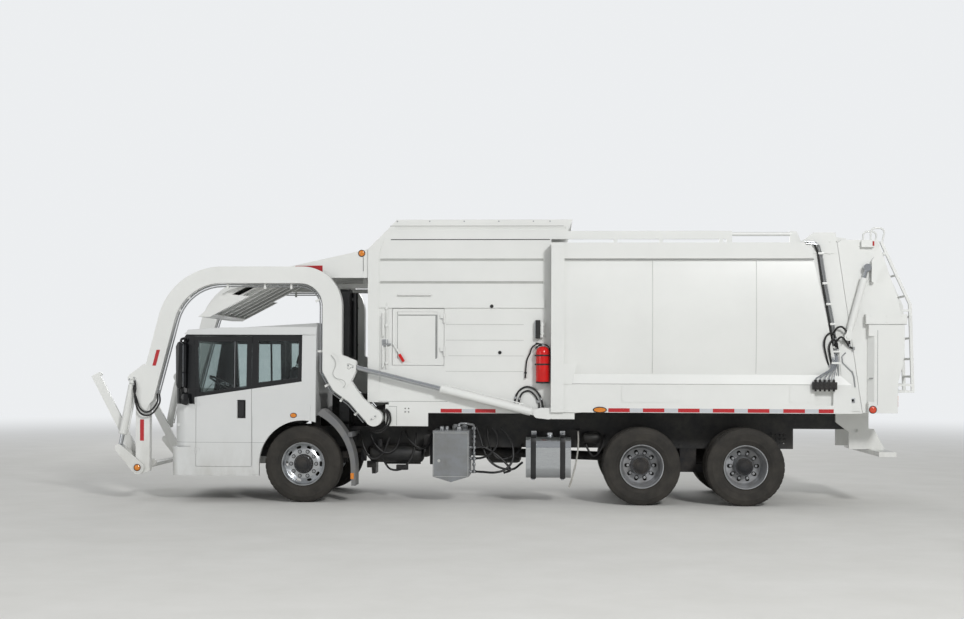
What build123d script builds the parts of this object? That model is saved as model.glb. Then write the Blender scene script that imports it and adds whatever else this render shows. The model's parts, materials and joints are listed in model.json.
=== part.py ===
from build123d import *
import os
from math import atan2, cos, degrees, hypot, pi, radians, sin, tan

os.makedirs("parts", exist_ok=True)

# Front-loading refuse truck, in millimetres
# +X runs aft, +Y to the truck's right side, +Z up, with the ground at z = 0
# Lengths along the truck are given from the front axle, which lies front_axle_x from the origin

# Chassis
front_axle_x = -2544
wheelbase = 4470
bogie_spread = 1350
rail_outer = 430
rail_flange = 90
rail_wall = 10
rail_bottom = 707
rail_top = 980
rail_front = -1480
rail_rear = 6560
sill_top = 1215
sill_front = 1120

# Wheels
tyre_radius = 510
tyre_width = 280
tyre_bore = 288
rim_wall = 12
vent_count = 10
front_wheel_y = 1050
rear_wheel_y = 1100
dual_spacing = 330
kingpin_y = 880
kingpin_radius = 22
spindle_radius = 40
rear_spindle_radius = 48
fit_gap = 0.3
run_gap = 5

# Cab
cab_half = 1215
cab_wall = 50
cab_front_x = -1740
cab_rear_x = 170
bumper_rear_x = -1500
cab_floor = 1040
rear_floor = 1190
cab_skirt_bottom = 350
roof_overhang = 15
cap_bottom = 2225
cap_depth = 95
seam_height = 12
seam_depth = 14
air_slots = 4
slot_width = 1100
slot_height = 28
slot_pitch = 70
slot_middle = 1060
slot_depth = 30
arch_radius = 580
glass_inset = 14
glass_thick = 6
door_front_x = -1432
cab_split_x = door_front_x
door_rear_x = -682
door_bottom = 470
door_top = 2205
handle_front = -879
handle_rear = -763
handle_bottom = 1110
handle_top = 1359
handle_depth = 30
bumper_top = 730
bumper_front_x = -1765
bumper_thick = 110
lamp_width = 330
lamp_height = 150
lamp_depth = 60

# Lift arms, measured at the near arm
arm_inner = 1055
arm_width = 150
arm_centre = arm_inner + arm_width / 2
arm_depth = 220
arm_top = 3128
arm_pivot = (940, 1130)
arm_rear_x = 514
arm_front_x = -1768
arm_lean = 14.7
front_bend = 875
rear_bend = 530
torque_radius = 90
fork_pivot = (-2216, 445)
fork_pin_radius = 30
fork_hub = 85
leg_width = 110
leg_front_x = -2248
leg_rear_x = -2061
arm_rod_pin = (634, 1807)
arm_base_pin = (3109, 1196)
fork_crank = (-2477, 713)
fork_top_pin = (-2294, 1637)
doubler = 8
pin_radius = 25
eye_radius = 50
eye_width = 80
lug_gap = 90

# Forks
fork_y = 960
fork_thick = 50
fork_depth = 110
fork_length = 1400
fork_angle = 117.5
cross_tube_radius = 38
crank_plate = 22
hub_boss = 12

# Hopper
hopper_front_x = 836
hopper_half = 1010
hopper_wall = 50
hopper_top = 3505
hopper_chamfer = 128
post_rear = 983
groove_depth = 14
groove_heights = [3241, 2938]
belt_top = 2707
belt_bottom = 2590
belt_depth = 18
handrail_radius = 9
handrail_reach = 30
side_door_front = 1160
side_door_rear = 1859
side_door_bottom = 1822
side_door_top = 2585
side_door_thick = 30
door_border = 45
cover_front = 1005
cover_rear = 3500
cover_depth = 153
rail_depth = 107
cover_rail_rear = 5657
end_block = 72
cover_half = 1000

# Body
body_front_x = 3279
body_wall = 50
body_top = 3441
body_floor = 1275
beam_bottom = 3219
barrel_bottom = 1717
skirt_top = 1587
barrel_half = 1228
shoulder_half = barrel_half - 48
beam_reach = 30
post_width = 169
post_half = barrel_half + 22
rear_top_x = 6984
rear_top_z = 3518
rear_lean = 0.1505
rear_frame_width = 215
rear_frame_half = barrel_half - 78
body_inside_half = rear_frame_half - body_wall

# Tailgate
tail_gap = 5
hinge = (7096, 3461)
hinge_radius = 30
tail_half = rear_frame_half
tail_box_half = barrel_half + 7
tail_wall = 50
tail_ram_y = rear_frame_half + 53
tail_base_pin = (7130, 2212)
tail_rod_pin = (7371, 3113)


def side(y):
    """A plane seen from the left: local x runs aft from the front axle, local y up."""
    return Plane(origin=(front_axle_x, y, 0), x_dir=(1, 0, 0), z_dir=(0, -1, 0))


def across(x):
    """A plane seen from behind: local x runs to the right, local y up."""
    return Plane(origin=(front_axle_x + x, 0, 0), x_dir=(0, 1, 0), z_dir=(1, 0, 0))


def level(z):
    """A horizontal plane with its origin above the front axle."""
    return Plane(origin=(front_axle_x, 0, z))


def finish(part, name):
    part.label = name
    export_step(part, f"parts/{name}.step")
    print(name, len(part.solids()))


def bent_bar(points, radius, bend):
    """A round bar through points given from the front axle, its corners bent."""
    with BuildPart() as bar:
        with BuildLine() as path:
            FilletPolyline(*[(front_axle_x + x, y, z) for x, y, z in points], radius=bend)
        with BuildSketch(Plane(origin=path.line @ 0, z_dir=path.line % 0)):
            Circle(radius)
        sweep()
    return bar.part


def rear_x(z):
    """The body's leaning rear face at height z."""
    return rear_top_x + rear_lean * (rear_top_z - z)


# Frame rails, two channels open inwards, tied by cross members
cross_members = [-1380, 60, 2250, 3900, 5145, 6480]
rail_hole_x = rail_rear - 320
rail_hole_pitch = 56
rail_hole_radius = 10
with BuildPart() as frame_rails:
    with BuildSketch(across(rail_front)):
        with Locations((-rail_outer, rail_bottom)):
            Rectangle(rail_flange, rail_top - rail_bottom, align=(Align.MIN, Align.MIN))
        with Locations((-rail_outer + rail_wall, rail_bottom + rail_wall)):
            Rectangle(
                rail_flange,
                rail_top - rail_bottom - 2 * rail_wall,
                align=(Align.MIN, Align.MIN),
                mode=Mode.SUBTRACT,
            )
    extrude(amount=rail_rear - rail_front)
    mirror(about=Plane.XZ)
    for x in cross_members:
        with BuildSketch(across(x)):
            with Locations((0, (rail_bottom + rail_top) / 2)):
                Rectangle(2 * (rail_outer - rail_wall), 150)
        extrude(amount=60)
    # rows of holes in both webs behind the rear axles
    with BuildSketch(side(rail_outer + 1)):
        with Locations((rail_hole_x, (rail_bottom + rail_top) / 2)):
            with GridLocations(rail_hole_pitch, rail_hole_pitch, 8, 3):
                Circle(rail_hole_radius)
    extrude(amount=2 * rail_outer + 2, mode=Mode.SUBTRACT)
finish(frame_rails.part, "frame_rails")

# Front axle with its springs, hung under the rails
spring_y = rail_outer - rail_flange / 2
spring_half = 720
seat_half = 120
leaf_stack = 70
beam_top = tyre_radius - 10
eye_top = rail_bottom - 17
eye_bottom = eye_top - 50
with BuildPart() as front_axle:
    with BuildSketch(side(-kingpin_y)):
        with Locations((0, beam_top - 40)):
            Rectangle(110, 80)
    extrude(amount=-2 * kingpin_y)
    with BuildSketch(side(-(spring_y - 35))):
        with BuildLine():
            Polyline(
                (-spring_half, eye_top), (-spring_half, eye_bottom), (-seat_half, beam_top),
                (seat_half, beam_top), (spring_half, eye_bottom), (spring_half, eye_top),
                (seat_half - 20, beam_top + leaf_stack), (-seat_half + 20, beam_top + leaf_stack), close=True,
            )
        make_face()
        for x in (-spring_half, spring_half):
            with Locations((x, (eye_bottom + rail_bottom) / 2)):
                Rectangle(90, rail_bottom - eye_bottom)
    extrude(amount=70)
    mirror(about=Plane.XZ)
    for y in (-kingpin_y, kingpin_y):
        with BuildSketch(Plane(origin=(front_axle_x, y, 420))):
            Circle(55)
        extrude(amount=176)
        with BuildSketch(Plane(origin=(front_axle_x, y, 364))):
            Circle(kingpin_radius)
        extrude(amount=288)
finish(front_axle.part, "front_axle")

# Steering knuckles, a yoke about each kingpin with the wheel's spindle
knuckle_face = kingpin_y + 105
for sign, name in ((-1, "knuckle_left"), (1, "knuckle_right")):
    pin_plane = Plane(origin=(front_axle_x, sign * kingpin_y, 0))
    with BuildPart() as knuckle:
        for z in (366, 602):
            with BuildSketch(pin_plane.offset(z)):
                Circle(60)
                with Locations((0, sign * 52)):
                    Rectangle(120, 105)
                Circle(kingpin_radius + fit_gap, mode=Mode.SUBTRACT)
            extrude(amount=48)
        with BuildSketch(pin_plane.offset(366)):
            with Locations((0, sign * 85)):
                Rectangle(120, 40)
        extrude(amount=284)
        with BuildSketch(side(sign * knuckle_face)):
            with Locations((0, tyre_radius)):
                Circle(spindle_radius)
        extrude(amount=-sign * 120)
    finish(knuckle.part, name)

# Rear axles: housings, walking beams and the saddles that carry the rails
axle_stations = [wheelbase, wheelbase + bogie_spread]
saddle_x = wheelbase + bogie_spread / 2
with BuildPart() as rear_axles:
    for x in axle_stations:
        with BuildSketch(side(-930)):
            with Locations((x, tyre_radius)):
                Circle(rear_spindle_radius)
        extrude(amount=-1860)
        with BuildSketch(side(-560)):
            with Locations((x, tyre_radius)):
                Circle(75)
        extrude(amount=-1120)
        with BuildSketch(side(-150)):
            with Locations((x, tyre_radius)):
                Circle(185)
        extrude(amount=-300)
    for y in (-spring_y - 35, spring_y - 35):
        with BuildSketch(side(y + 70)):
            with Locations((saddle_x, 440)):
                Rectangle(bogie_spread + 140, 110)
            with Locations((saddle_x, (440 + rail_bottom) / 2)):
                Rectangle(220, rail_bottom - 440)
        extrude(amount=70)
finish(rear_axles.part, "rear_axles")

# Engine with its gearbox, one plain block between the rails behind the cab
with BuildPart() as engine:
    with BuildSketch(side(-300)):
        with BuildLine():
            Polyline(
                (250, 560), (250, 1430), (720, 1430), (720, 900), (1500, 900), (1500, 600), (700, 600),
                (700, 560), (250, 560),
            )
        make_face()
    extrude(amount=-600)
    with BuildSketch(side(-(rail_outer - rail_wall))):
        with Locations((450, 820), (1350, 820)):
            Rectangle(120, 100)
    extrude(amount=-2 * (rail_outer - rail_wall))
finish(engine.part, "engine")

# Wheels
half_tyre = tyre_width / 2
# radius and offset from the tyre's middle plane
tyre_profile = [
    (tyre_bore, half_tyre - 28),
    (tyre_bore + 110, half_tyre),
    (tyre_radius - 26, half_tyre - 8),
    (tyre_radius, half_tyre - 30),
]


def tyre_ring(centre_y):
    """Revolves one tyre about the wheel axis, inside the part that is being built."""
    points = [(r, centre_y + a) for r, a in tyre_profile]
    points += [(r, centre_y - a) for r, a in reversed(tyre_profile)]
    return points


def wheel_plane(x):
    """Local x is the radius, towards +X, and local y runs along +Y, the wheel's axis."""
    return Plane(origin=(front_axle_x + x, 0, tyre_radius), x_dir=(1, 0, 0), z_dir=(0, 0, 1))


rim_edge = half_tyre - 20
front_vent_radius = 226
rear_vent_radius = 186
outside = 1300
for sign, side_name in ((-1, "left"), (1, "right")):
    centre = sign * front_wheel_y
    with BuildPart() as tyre:
        with BuildSketch(wheel_plane(0)):
            with BuildLine():
                Polyline(*tyre_ring(centre), close=True)
            make_face()
        revolve(axis=Axis((front_axle_x, 0, tyre_radius), (0, 1, 0)))
    finish(tyre.part, f"front_tyre_{side_name}")

    outer = sign * rim_edge
    with BuildPart() as rim:
        with BuildSketch(wheel_plane(0)):
            with BuildLine():
                Polyline(
                    (tyre_bore - fit_gap, centre - outer),
                    (tyre_bore - fit_gap, centre + outer),
                    (tyre_bore - rim_wall, centre + outer),
                    (tyre_bore - rim_wall - 18, centre + sign * 40),
                    (190, centre + sign * 75),
                    (120, centre + sign * 75),
                    (110, centre + sign * 118),
                    (spindle_radius + fit_gap, centre + sign * 118),
                    (spindle_radius + fit_gap, sign * (knuckle_face + run_gap)),
                    (150, sign * (knuckle_face + run_gap)),
                    (150, centre + sign * 55),
                    (190, centre + sign * 55),
                    (tyre_bore - rim_wall - 20, centre + sign * 15),
                    (tyre_bore - rim_wall, centre - outer),
                    close=True,
                )
            make_face()
        revolve(axis=Axis((front_axle_x, 0, tyre_radius), (0, 1, 0)))
        # oval vents near the rim
        with BuildSketch(side(outside if sign > 0 else 0)):
            with Locations((0, tyre_radius)):
                with PolarLocations(front_vent_radius, vent_count):
                    SlotCenterToCenter(34, 34, rotation=90)
        extrude(amount=outside, mode=Mode.SUBTRACT)
    finish(rim.part, f"front_rim_{side_name}")

    for number, x in enumerate(axle_stations, start=1):
        axis = Axis((front_axle_x + x, 0, tyre_radius), (0, 1, 0))
        middle = sign * (rear_wheel_y - dual_spacing / 2)
        with BuildPart() as tyres:
            for centre_y in (middle - dual_spacing / 2, middle + dual_spacing / 2):
                with BuildSketch(wheel_plane(x)):
                    with BuildLine():
                        Polyline(*tyre_ring(centre_y), close=True)
                    make_face()
                revolve(axis=axis)
        finish(tyres.part, f"rear_tyres_{number}_{side_name}")

        far = sign * (dual_spacing / 2 + rim_edge)
        near = sign * (dual_spacing / 2 - rim_edge)
        with BuildPart() as rims:
            with BuildSketch(wheel_plane(x)):
                with BuildLine():
                    Polyline(
                        (tyre_bore - fit_gap, middle - far),
                        (tyre_bore - fit_gap, middle - near),
                        (tyre_bore - 26, middle - near),
                        (tyre_bore - 26, middle + near),
                        (tyre_bore - fit_gap, middle + near),
                        (tyre_bore - fit_gap, middle + far),
                        (tyre_bore - rim_wall, middle + far),
                        (tyre_bore - rim_wall - 20, middle + sign * 60),
                        (230, middle + sign * 12),
                        (140, middle + sign * 12),
                        (110, middle + sign * 150),
                        (rear_spindle_radius + fit_gap, middle + sign * 150),
                        (rear_spindle_radius + fit_gap, middle - sign * 150),
                        (140, middle - sign * 150),
                        (140, middle - sign * 12),
                        (230, middle - sign * 12),
                        (tyre_bore - rim_wall - 20, middle - sign * 60),
                        (tyre_bore - rim_wall, middle - far),
                        close=True,
                    )
                make_face()
            revolve(axis=axis)
            # round hand holes through the wheel discs
            with BuildSketch(side(outside if sign > 0 else 0)):
                with Locations((x, tyre_radius)):
                    with PolarLocations(rear_vent_radius, vent_count):
                        Circle(27)
            extrude(amount=outside, mode=Mode.SUBTRACT)
        finish(rims.part, f"rear_rims_{number}_{side_name}")


# Cab
def cab_solid(inset):
    """The cab's outer form, or the same form drawn in by inset, as a closed solid."""
    half = cab_half - inset
    front = cab_front_x + inset
    with BuildPart() as form:
        with BuildSketch(level(cab_skirt_bottom)) as plan:
            with Locations(((front + cab_rear_x - inset) / 2, 0)):
                Rectangle(cab_rear_x - front - inset, 2 * half)
            fillet(plan.vertices().group_by(Axis.X)[0], radius=220 - inset)
        extrude(amount=2200)
        with BuildSketch(side(-half - 10)):
            with BuildLine():
                Polyline(
                    (front, cab_skirt_bottom - 10),
                    (front - 5, 1400),
                    (-1600 + inset, 2190 - inset),
                    (-1540 + inset, 2275 - inset),
                    (cab_rear_x, 2386 - inset),
                    (cab_rear_x, cab_skirt_bottom - 10),
                    close=True,
                )
            make_face()
        extrude(amount=-2 * half - 20, mode=Mode.INTERSECT)
        with BuildSketch(across(cab_front_x - 100)):
            with BuildLine():
                Polyline(
                    (-half, cab_skirt_bottom - 10),
                    (-half, 1500),
                    (-half + 45, 2200),
                    (-half + 100, 2330 - inset),
                    (-half + 240, 2400 - inset),
                    (half - 240, 2400 - inset),
                    (half - 100, 2330 - inset),
                    (half - 45, 2200),
                    (half, 1500),
                    (half, cab_skirt_bottom - 10),
                    close=True,
                )
            make_face()
        extrude(amount=cab_rear_x - cab_front_x + 300, mode=Mode.INTERSECT)
    return form.part


# corners of each opening in the cab's sides, seen from the left
door_outline = [
    (door_front_x, door_bottom),
    (door_rear_x, door_bottom),
    (door_rear_x, door_top),
    (-1470, door_top),
    (door_front_x, 1400),
]
door_window = [(-1385, 1440), (-755, 1530), (-755, 2140), (-1410, 2140)]
rear_window = [(-600, 1580), (-60, 1650), (-60, 2150), (-600, 2150)]
windscreen = [(-1010, 1330), (1010, 1330), (960, 2120), (-960, 2120)]
rear_light = [(-700, 1650), (700, 1650), (700, 2150), (-700, 2150)]


def outline(points, shrink=0):
    """A sketch of straight sides, drawn in by shrink, on the sketch plane in use."""
    with BuildSketch(Plane.XY, mode=Mode.PRIVATE) as shape:
        with BuildLine():
            Polyline(*points, close=True)
        make_face()
        if shrink:
            offset(amount=-shrink, kind=Kind.INTERSECTION)
    return shape.sketch


cab_outer = cab_solid(0)
cab_inner = cab_solid(cab_wall)
glass_outer = cab_solid(glass_inset)
glass_inner = cab_solid(glass_inset + glass_thick)

flare_reach = 12
flare_start = door_rear_x + 16
flare_end = 100
flare_bottom = cab_skirt_bottom + 20
flare_crease = [(flare_start, 1150), (-360, 1262), (-30, 1306), (flare_end, 1296)]
floor_thick = 40
with BuildPart() as cab_hollow:
    add(cab_outer)
    add(cab_inner, mode=Mode.SUBTRACT)
    # the back is open below the floor
    with BuildSketch(side(-(cab_half - cab_wall))):
        with Locations((cab_rear_x, (rear_floor - floor_thick) / 2)):
            Rectangle(3 * cab_wall, rear_floor - floor_thick)
    extrude(amount=-2 * (cab_half - cab_wall), mode=Mode.SUBTRACT)
    # round wheel arches in the side skins
    with BuildSketch(side(-1300)):
        with Locations((0, tyre_radius)):
            Circle(arch_radius)
        with Locations((arch_radius / 2, tyre_radius / 2)):
            Rectangle(3 * arch_radius, tyre_radius)
    extrude(amount=-2600, mode=Mode.SUBTRACT)
    # door and window openings, on both sides
    with BuildSketch(side(-1300)):
        add(outline(door_outline))
        add(outline(rear_window))
    extrude(amount=-2600, mode=Mode.SUBTRACT)
    with BuildSketch(across(cab_front_x - 50)):
        add(outline(windscreen))
    extrude(amount=400, mode=Mode.SUBTRACT)
    with BuildSketch(across(cab_rear_x - cab_wall - 10)):
        add(outline(rear_light))
    extrude(amount=cab_wall + 20, mode=Mode.SUBTRACT)
    # the floor, lower between the doors than under the seats
    with BuildSketch(side(-(cab_half - cab_wall))):
        with BuildLine():
            Polyline(
                (cab_front_x + cab_wall, cab_floor - floor_thick), (door_rear_x, cab_floor - floor_thick),
                (door_rear_x + floor_thick, rear_floor - floor_thick), (cab_rear_x, rear_floor - floor_thick),
                (cab_rear_x, rear_floor), (door_rear_x, rear_floor), (door_rear_x, cab_floor),
                (cab_front_x + cab_wall, cab_floor), close=True,
            )
        make_face()
    extrude(amount=-2 * (cab_half - cab_wall))

hinge_knuckle = 8
hinge_length = 40
hinge_heights = [680, 1280]
door_hinge_y = cab_half + hinge_knuckle + 1
well_depth = 360
well_wall = 30
# the roof's cap stands out over the window band all round
with BuildPart() as roof_cap:
    with BuildSketch(level(cap_bottom)):
        with Locations(((cab_front_x + cab_rear_x) / 2, 0)):
            Rectangle(cab_rear_x - cab_front_x + 100, 2 * cab_half + 100)
    extrude(amount=cap_depth)
    add(cab_solid(-roof_overhang), mode=Mode.INTERSECT)
    add(cab_inner, mode=Mode.SUBTRACT)

with BuildPart() as cap_rear:
    add(roof_cap.part)
    split(bisect_by=across(cab_split_x), keep=Keep.TOP)

with BuildPart() as cap_front:
    add(roof_cap.part)
    split(bisect_by=across(cab_split_x), keep=Keep.BOTTOM)

# a seam between the front panel and the bumper
with BuildPart() as front_seam:
    with BuildSketch(level(bumper_top)):
        with Locations((cab_front_x, 0)):
            Rectangle(2 * (bumper_rear_x - cab_front_x), 3 * cab_half)
    extrude(amount=seam_height)
    add(cab_solid(seam_depth), mode=Mode.SUBTRACT)

with BuildPart() as cab_roof:
    add(cab_hollow.part)
    split(bisect_by=across(cab_split_x), keep=Keep.TOP)
    split(bisect_by=level(door_top), keep=Keep.TOP)
    add(cap_rear.part)
finish(cab_roof.part, "cab_roof")

with BuildPart() as cab_back:
    add(cab_hollow.part)
    split(bisect_by=across(cab_rear_x - cab_wall), keep=Keep.TOP)
    split(bisect_by=level(door_top), keep=Keep.BOTTOM)
finish(cab_back.part, "cab_back")

with BuildPart() as cab_middle:
    add(cab_hollow.part)
    split(bisect_by=across(cab_split_x), keep=Keep.TOP)
    split(bisect_by=across(cab_rear_x - cab_wall), keep=Keep.BOTTOM)
    split(bisect_by=level(door_top), keep=Keep.BOTTOM)

with BuildPart() as floor_space:
    with BuildSketch(side(cab_half - cab_wall)):
        with Locations(((cab_front_x + cab_rear_x) / 2, rear_floor / 2)):
            Rectangle(cab_rear_x - cab_front_x, rear_floor)
    extrude(amount=2 * (cab_half - cab_wall))

with BuildPart() as cab_sides:
    add(cab_middle.part)
    add(floor_space.part, mode=Mode.SUBTRACT)
    # the wheel arches' flares, ending in a crease that rises aft
    for sign in (-1, 1):
        with BuildSketch(side(cab_half + flare_reach if sign > 0 else -cab_half + 2)):
            with BuildLine():
                Spline(*flare_crease)
                Polyline(flare_crease[-1], (flare_end, flare_bottom), (flare_start, flare_bottom), flare_crease[0])
            make_face()
            with Locations((0, tyre_radius)):
                Circle(arch_radius, mode=Mode.SUBTRACT)
            with Locations((arch_radius / 2, tyre_radius / 2)):
                Rectangle(3 * arch_radius, tyre_radius, mode=Mode.SUBTRACT)
        extrude(amount=flare_reach + 2)
finish(cab_sides.part, "cab_sides")

with BuildPart() as cab_floor_pan:
    add(cab_middle.part)
    add(floor_space.part, mode=Mode.INTERSECT)
    # step wells behind the doors
    for sign in (-1, 1):
        well_middle = sign * (cab_half - cab_wall - well_depth / 2)
        with BuildSketch(level(door_bottom + 10)):
            with Locations(((door_front_x + door_rear_x) / 2, well_middle)):
                Rectangle(door_rear_x - door_front_x - 2 * run_gap, well_depth - 2 * run_gap)
        extrude(amount=cab_floor - floor_thick - door_bottom)
        with BuildSketch(level(door_bottom + 10 + well_wall)):
            with Locations(((door_front_x + door_rear_x) / 2, well_middle + sign * 30)):
                Rectangle(door_rear_x - door_front_x - 2 * well_wall - 2 * run_gap, well_depth + 20)
        extrude(amount=cab_floor - door_bottom, mode=Mode.SUBTRACT)
    # feet on the rails
    for y in (-rail_outer + rail_flange, rail_outer):
        with BuildSketch(side(y)):
            with Locations((-1300, (rail_top + cab_floor - 10) / 2)):
                Rectangle(160, cab_floor - 10 - rail_top)
            with Locations((40, (rail_top + rear_floor - 10) / 2)):
                Rectangle(120, rear_floor - 10 - rail_top)
        extrude(amount=rail_flange)
finish(cab_floor_pan.part, "cab_floor")

with BuildPart() as cab_front:
    add(cab_hollow.part)
    split(bisect_by=across(cab_split_x), keep=Keep.BOTTOM)
    with BuildSketch(side(1300)):
        with Locations(((cab_front_x + bumper_rear_x) / 2 - 50, bumper_top / 2)):
            Rectangle(bumper_rear_x - cab_front_x + 100, bumper_top)
    extrude(amount=2600, mode=Mode.SUBTRACT)
    add(cap_front.part)
    # the seam over the bumper and the air slots in the front panel
    add(front_seam.part, mode=Mode.SUBTRACT)
    with BuildSketch(across(cab_front_x - 20)):
        with Locations((0, slot_middle)):
            with GridLocations(slot_pitch, slot_pitch, 1, air_slots):
                SlotOverall(slot_width, slot_height)
    extrude(amount=20 + slot_depth, mode=Mode.SUBTRACT)
    # lower halves of the door hinges
    for sign in (-1, 1):
        for z in hinge_heights:
            with BuildSketch(level(z - hinge_length)):
                with Locations((door_front_x, sign * door_hinge_y)):
                    Circle(hinge_knuckle)
                with Locations((door_front_x - 30, sign * (cab_half + 3))):
                    Rectangle(50, 6)
            extrude(amount=hinge_length)
finish(cab_front.part, "cab_front")

with BuildPart() as bumper:
    with BuildSketch(level(cab_skirt_bottom)) as plan:
        with Locations(((bumper_front_x + bumper_rear_x) / 2, 0)):
            Rectangle(bumper_rear_x - bumper_front_x, 2 * cab_half)
        fillet(plan.vertices().group_by(Axis.X)[0], radius=120)
        with Locations(((bumper_front_x + bumper_thick + bumper_rear_x) / 2, 0)):
            Rectangle(
                bumper_rear_x - bumper_front_x - bumper_thick, 2 * (cab_half - 90), mode=Mode.SUBTRACT
            )
    extrude(amount=bumper_top - cab_skirt_bottom)
    # pockets for the headlamps
    with BuildSketch(across(bumper_front_x - 1)):
        with Locations((0, (bumper_top + cab_skirt_bottom) / 2 + 20)):
            with GridLocations(2 * (cab_half - 390), lamp_height, 2, 1):
                RectangleRounded(lamp_width, lamp_height, 30)
    extrude(amount=lamp_depth + 1, mode=Mode.SUBTRACT)
finish(bumper.part, "bumper")

with BuildPart() as cab_glass:
    with BuildSketch(side(-1300)):
        add(outline(rear_window, fit_gap))
    extrude(amount=-2600)
    with BuildSketch(across(cab_rear_x - cab_wall - 10)):
        add(outline(rear_light, fit_gap))
    extrude(amount=cab_wall + 20)
    with BuildSketch(across(cab_front_x - 50)):
        add(outline(windscreen, fit_gap))
    extrude(amount=400)
    add(glass_outer, mode=Mode.INTERSECT)
    add(glass_inner, mode=Mode.SUBTRACT)
finish(cab_glass.part, "cab_glass")

with BuildPart() as doors:
    with BuildSketch(side(-1300)):
        add(outline(door_outline, run_gap))
        add(outline(door_window), mode=Mode.SUBTRACT)
    extrude(amount=-2600)
    add(cab_outer, mode=Mode.INTERSECT)
    add(cab_inner, mode=Mode.SUBTRACT)
    # pockets for the handles
    for y in (cab_half + 1, -cab_half + handle_depth):
        with BuildSketch(side(y)):
            with Locations(((handle_front + handle_rear) / 2, (handle_bottom + handle_top) / 2)):
                RectangleRounded(handle_rear - handle_front, handle_top - handle_bottom, 12)
        extrude(amount=handle_depth + 1, mode=Mode.SUBTRACT)

with BuildPart() as door_panes:
    with BuildSketch(side(-1300)):
        add(outline(door_window, fit_gap))
    extrude(amount=-2600)
    add(glass_outer, mode=Mode.INTERSECT)
    add(glass_inner, mode=Mode.SUBTRACT)

for name, half in (("left", Keep.BOTTOM), ("right", Keep.TOP)):
    middle = Plane(origin=(0, 0, 0), x_dir=(1, 0, 0), z_dir=(0, 1, 0))
    with BuildPart() as door:
        add(doors.part)
        split(bisect_by=middle, keep=half)
        sign = -1 if name == "left" else 1
        for z in hinge_heights:
            with BuildSketch(level(z + fit_gap)):
                with Locations((door_front_x, sign * door_hinge_y)):
                    Circle(hinge_knuckle)
                with Locations((door_front_x + 30, sign * (cab_half + 3))):
                    Rectangle(50, 6)
            extrude(amount=hinge_length)
    finish(door.part, f"door_{name}")
    with BuildPart() as pane:
        add(door_panes.part)
        split(bisect_by=middle, keep=half)
    finish(pane.part, f"door_glass_{name}")

# Cab fittings: two seats, the dashboard with its wheel, and the mirrors
seat_y = 620
with BuildPart() as seats:
    for y in (-seat_y + 240, seat_y + 240):
        with BuildSketch(side(y)):
            with BuildLine():
                Polyline(
                    (-620, rear_floor), (-220, rear_floor), (-200, 1420),
                    (-60, 1980), (-170, 1990), (-300, 1520), (-660, 1540), (-660, 1430), (-620, 1420),
                    close=True,
                )
            make_face()
        extrude(amount=480)
finish(seats.part, "seats")

wheel_centre = (-1180, -seat_y, 1560)
with BuildPart() as dashboard:
    with BuildSketch(side(950)):
        with BuildLine():
            Polyline(
                (cab_front_x + cab_wall + fit_gap, cab_floor), (-1520, cab_floor), (-1400, 1250), (-1420, 1370),
                (cab_front_x + cab_wall + fit_gap, 1300), close=True,
            )
        make_face()
    extrude(amount=1900)
    column = Plane(
        origin=(front_axle_x + wheel_centre[0], wheel_centre[1], wheel_centre[2]),
        x_dir=(0, 1, 0),
        z_dir=(0.5, 0, 0.866),
    )
    with BuildSketch(column):
        Circle(235)
        Circle(212, mode=Mode.SUBTRACT)
        Rectangle(440, 40)
        Circle(60)
    extrude(amount=-24)
    with BuildSketch(column.offset(-10)):
        Circle(32)
    extrude(amount=-330)
    with BuildSketch(side(-seat_y + 40)):
        with BuildLine():
            Polyline((-1440, 1300), (-1300, 1240), (-1290, 1300), (-1430, 1380), close=True)
        make_face()
    extrude(amount=80)
finish(dashboard.part, "dashboard")

mirror_x = -1640
with BuildPart() as mirrors:
    for sign in (-1, 1):
        with BuildSketch(level(1480)):
            with Locations((mirror_x, sign * 1330)):
                RectangleRounded(130, 190, 40)
        extrude(amount=650)
        for z in (1440, 2100):
            with BuildSketch(level(z)):
                with Locations((mirror_x + 30, sign * 1235)):
                    Rectangle(50, 190)
            extrude(amount=45)
    add(cab_outer, mode=Mode.SUBTRACT)
finish(mirrors.part, "mirrors")

# Mudguards behind the front wheels, with their flaps
guard_inner_y = 900
with BuildPart() as front_mudguards:
    with BuildSketch(side(-guard_inner_y)):
        with BuildLine():
            ThreePointArc((260, 1245), (590, 905), (705, 500))
            Polyline((705, 500), (705, 230), (650, 230), (640, 500))
            ThreePointArc((640, 500), (530, 855), (190, 1170))
            Line((190, 1170), (260, 1245))
        make_face()
    extrude(amount=cab_half - guard_inner_y)
    with BuildSketch(side(-rail_outer)):
        with Locations((620, 900)):
            Rectangle(60, 60)
    extrude(amount=cab_half - rail_outer - 60)
    mirror(about=Plane.XZ)
finish(front_mudguards.part, "front_mudguards")


# Lift arms
lean = tan(radians(arm_lean))


def front_leg_x(z, inset=0):
    """The front leg's leaning outer edge at height z, or a line set in from it."""
    return arm_front_x - (arm_top - z) * lean + inset / cos(radians(arm_lean))


doubler_edge = [(385, 1990), (453, 1815), (393, 1698), (512, 1602), (559, 1510)]


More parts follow.
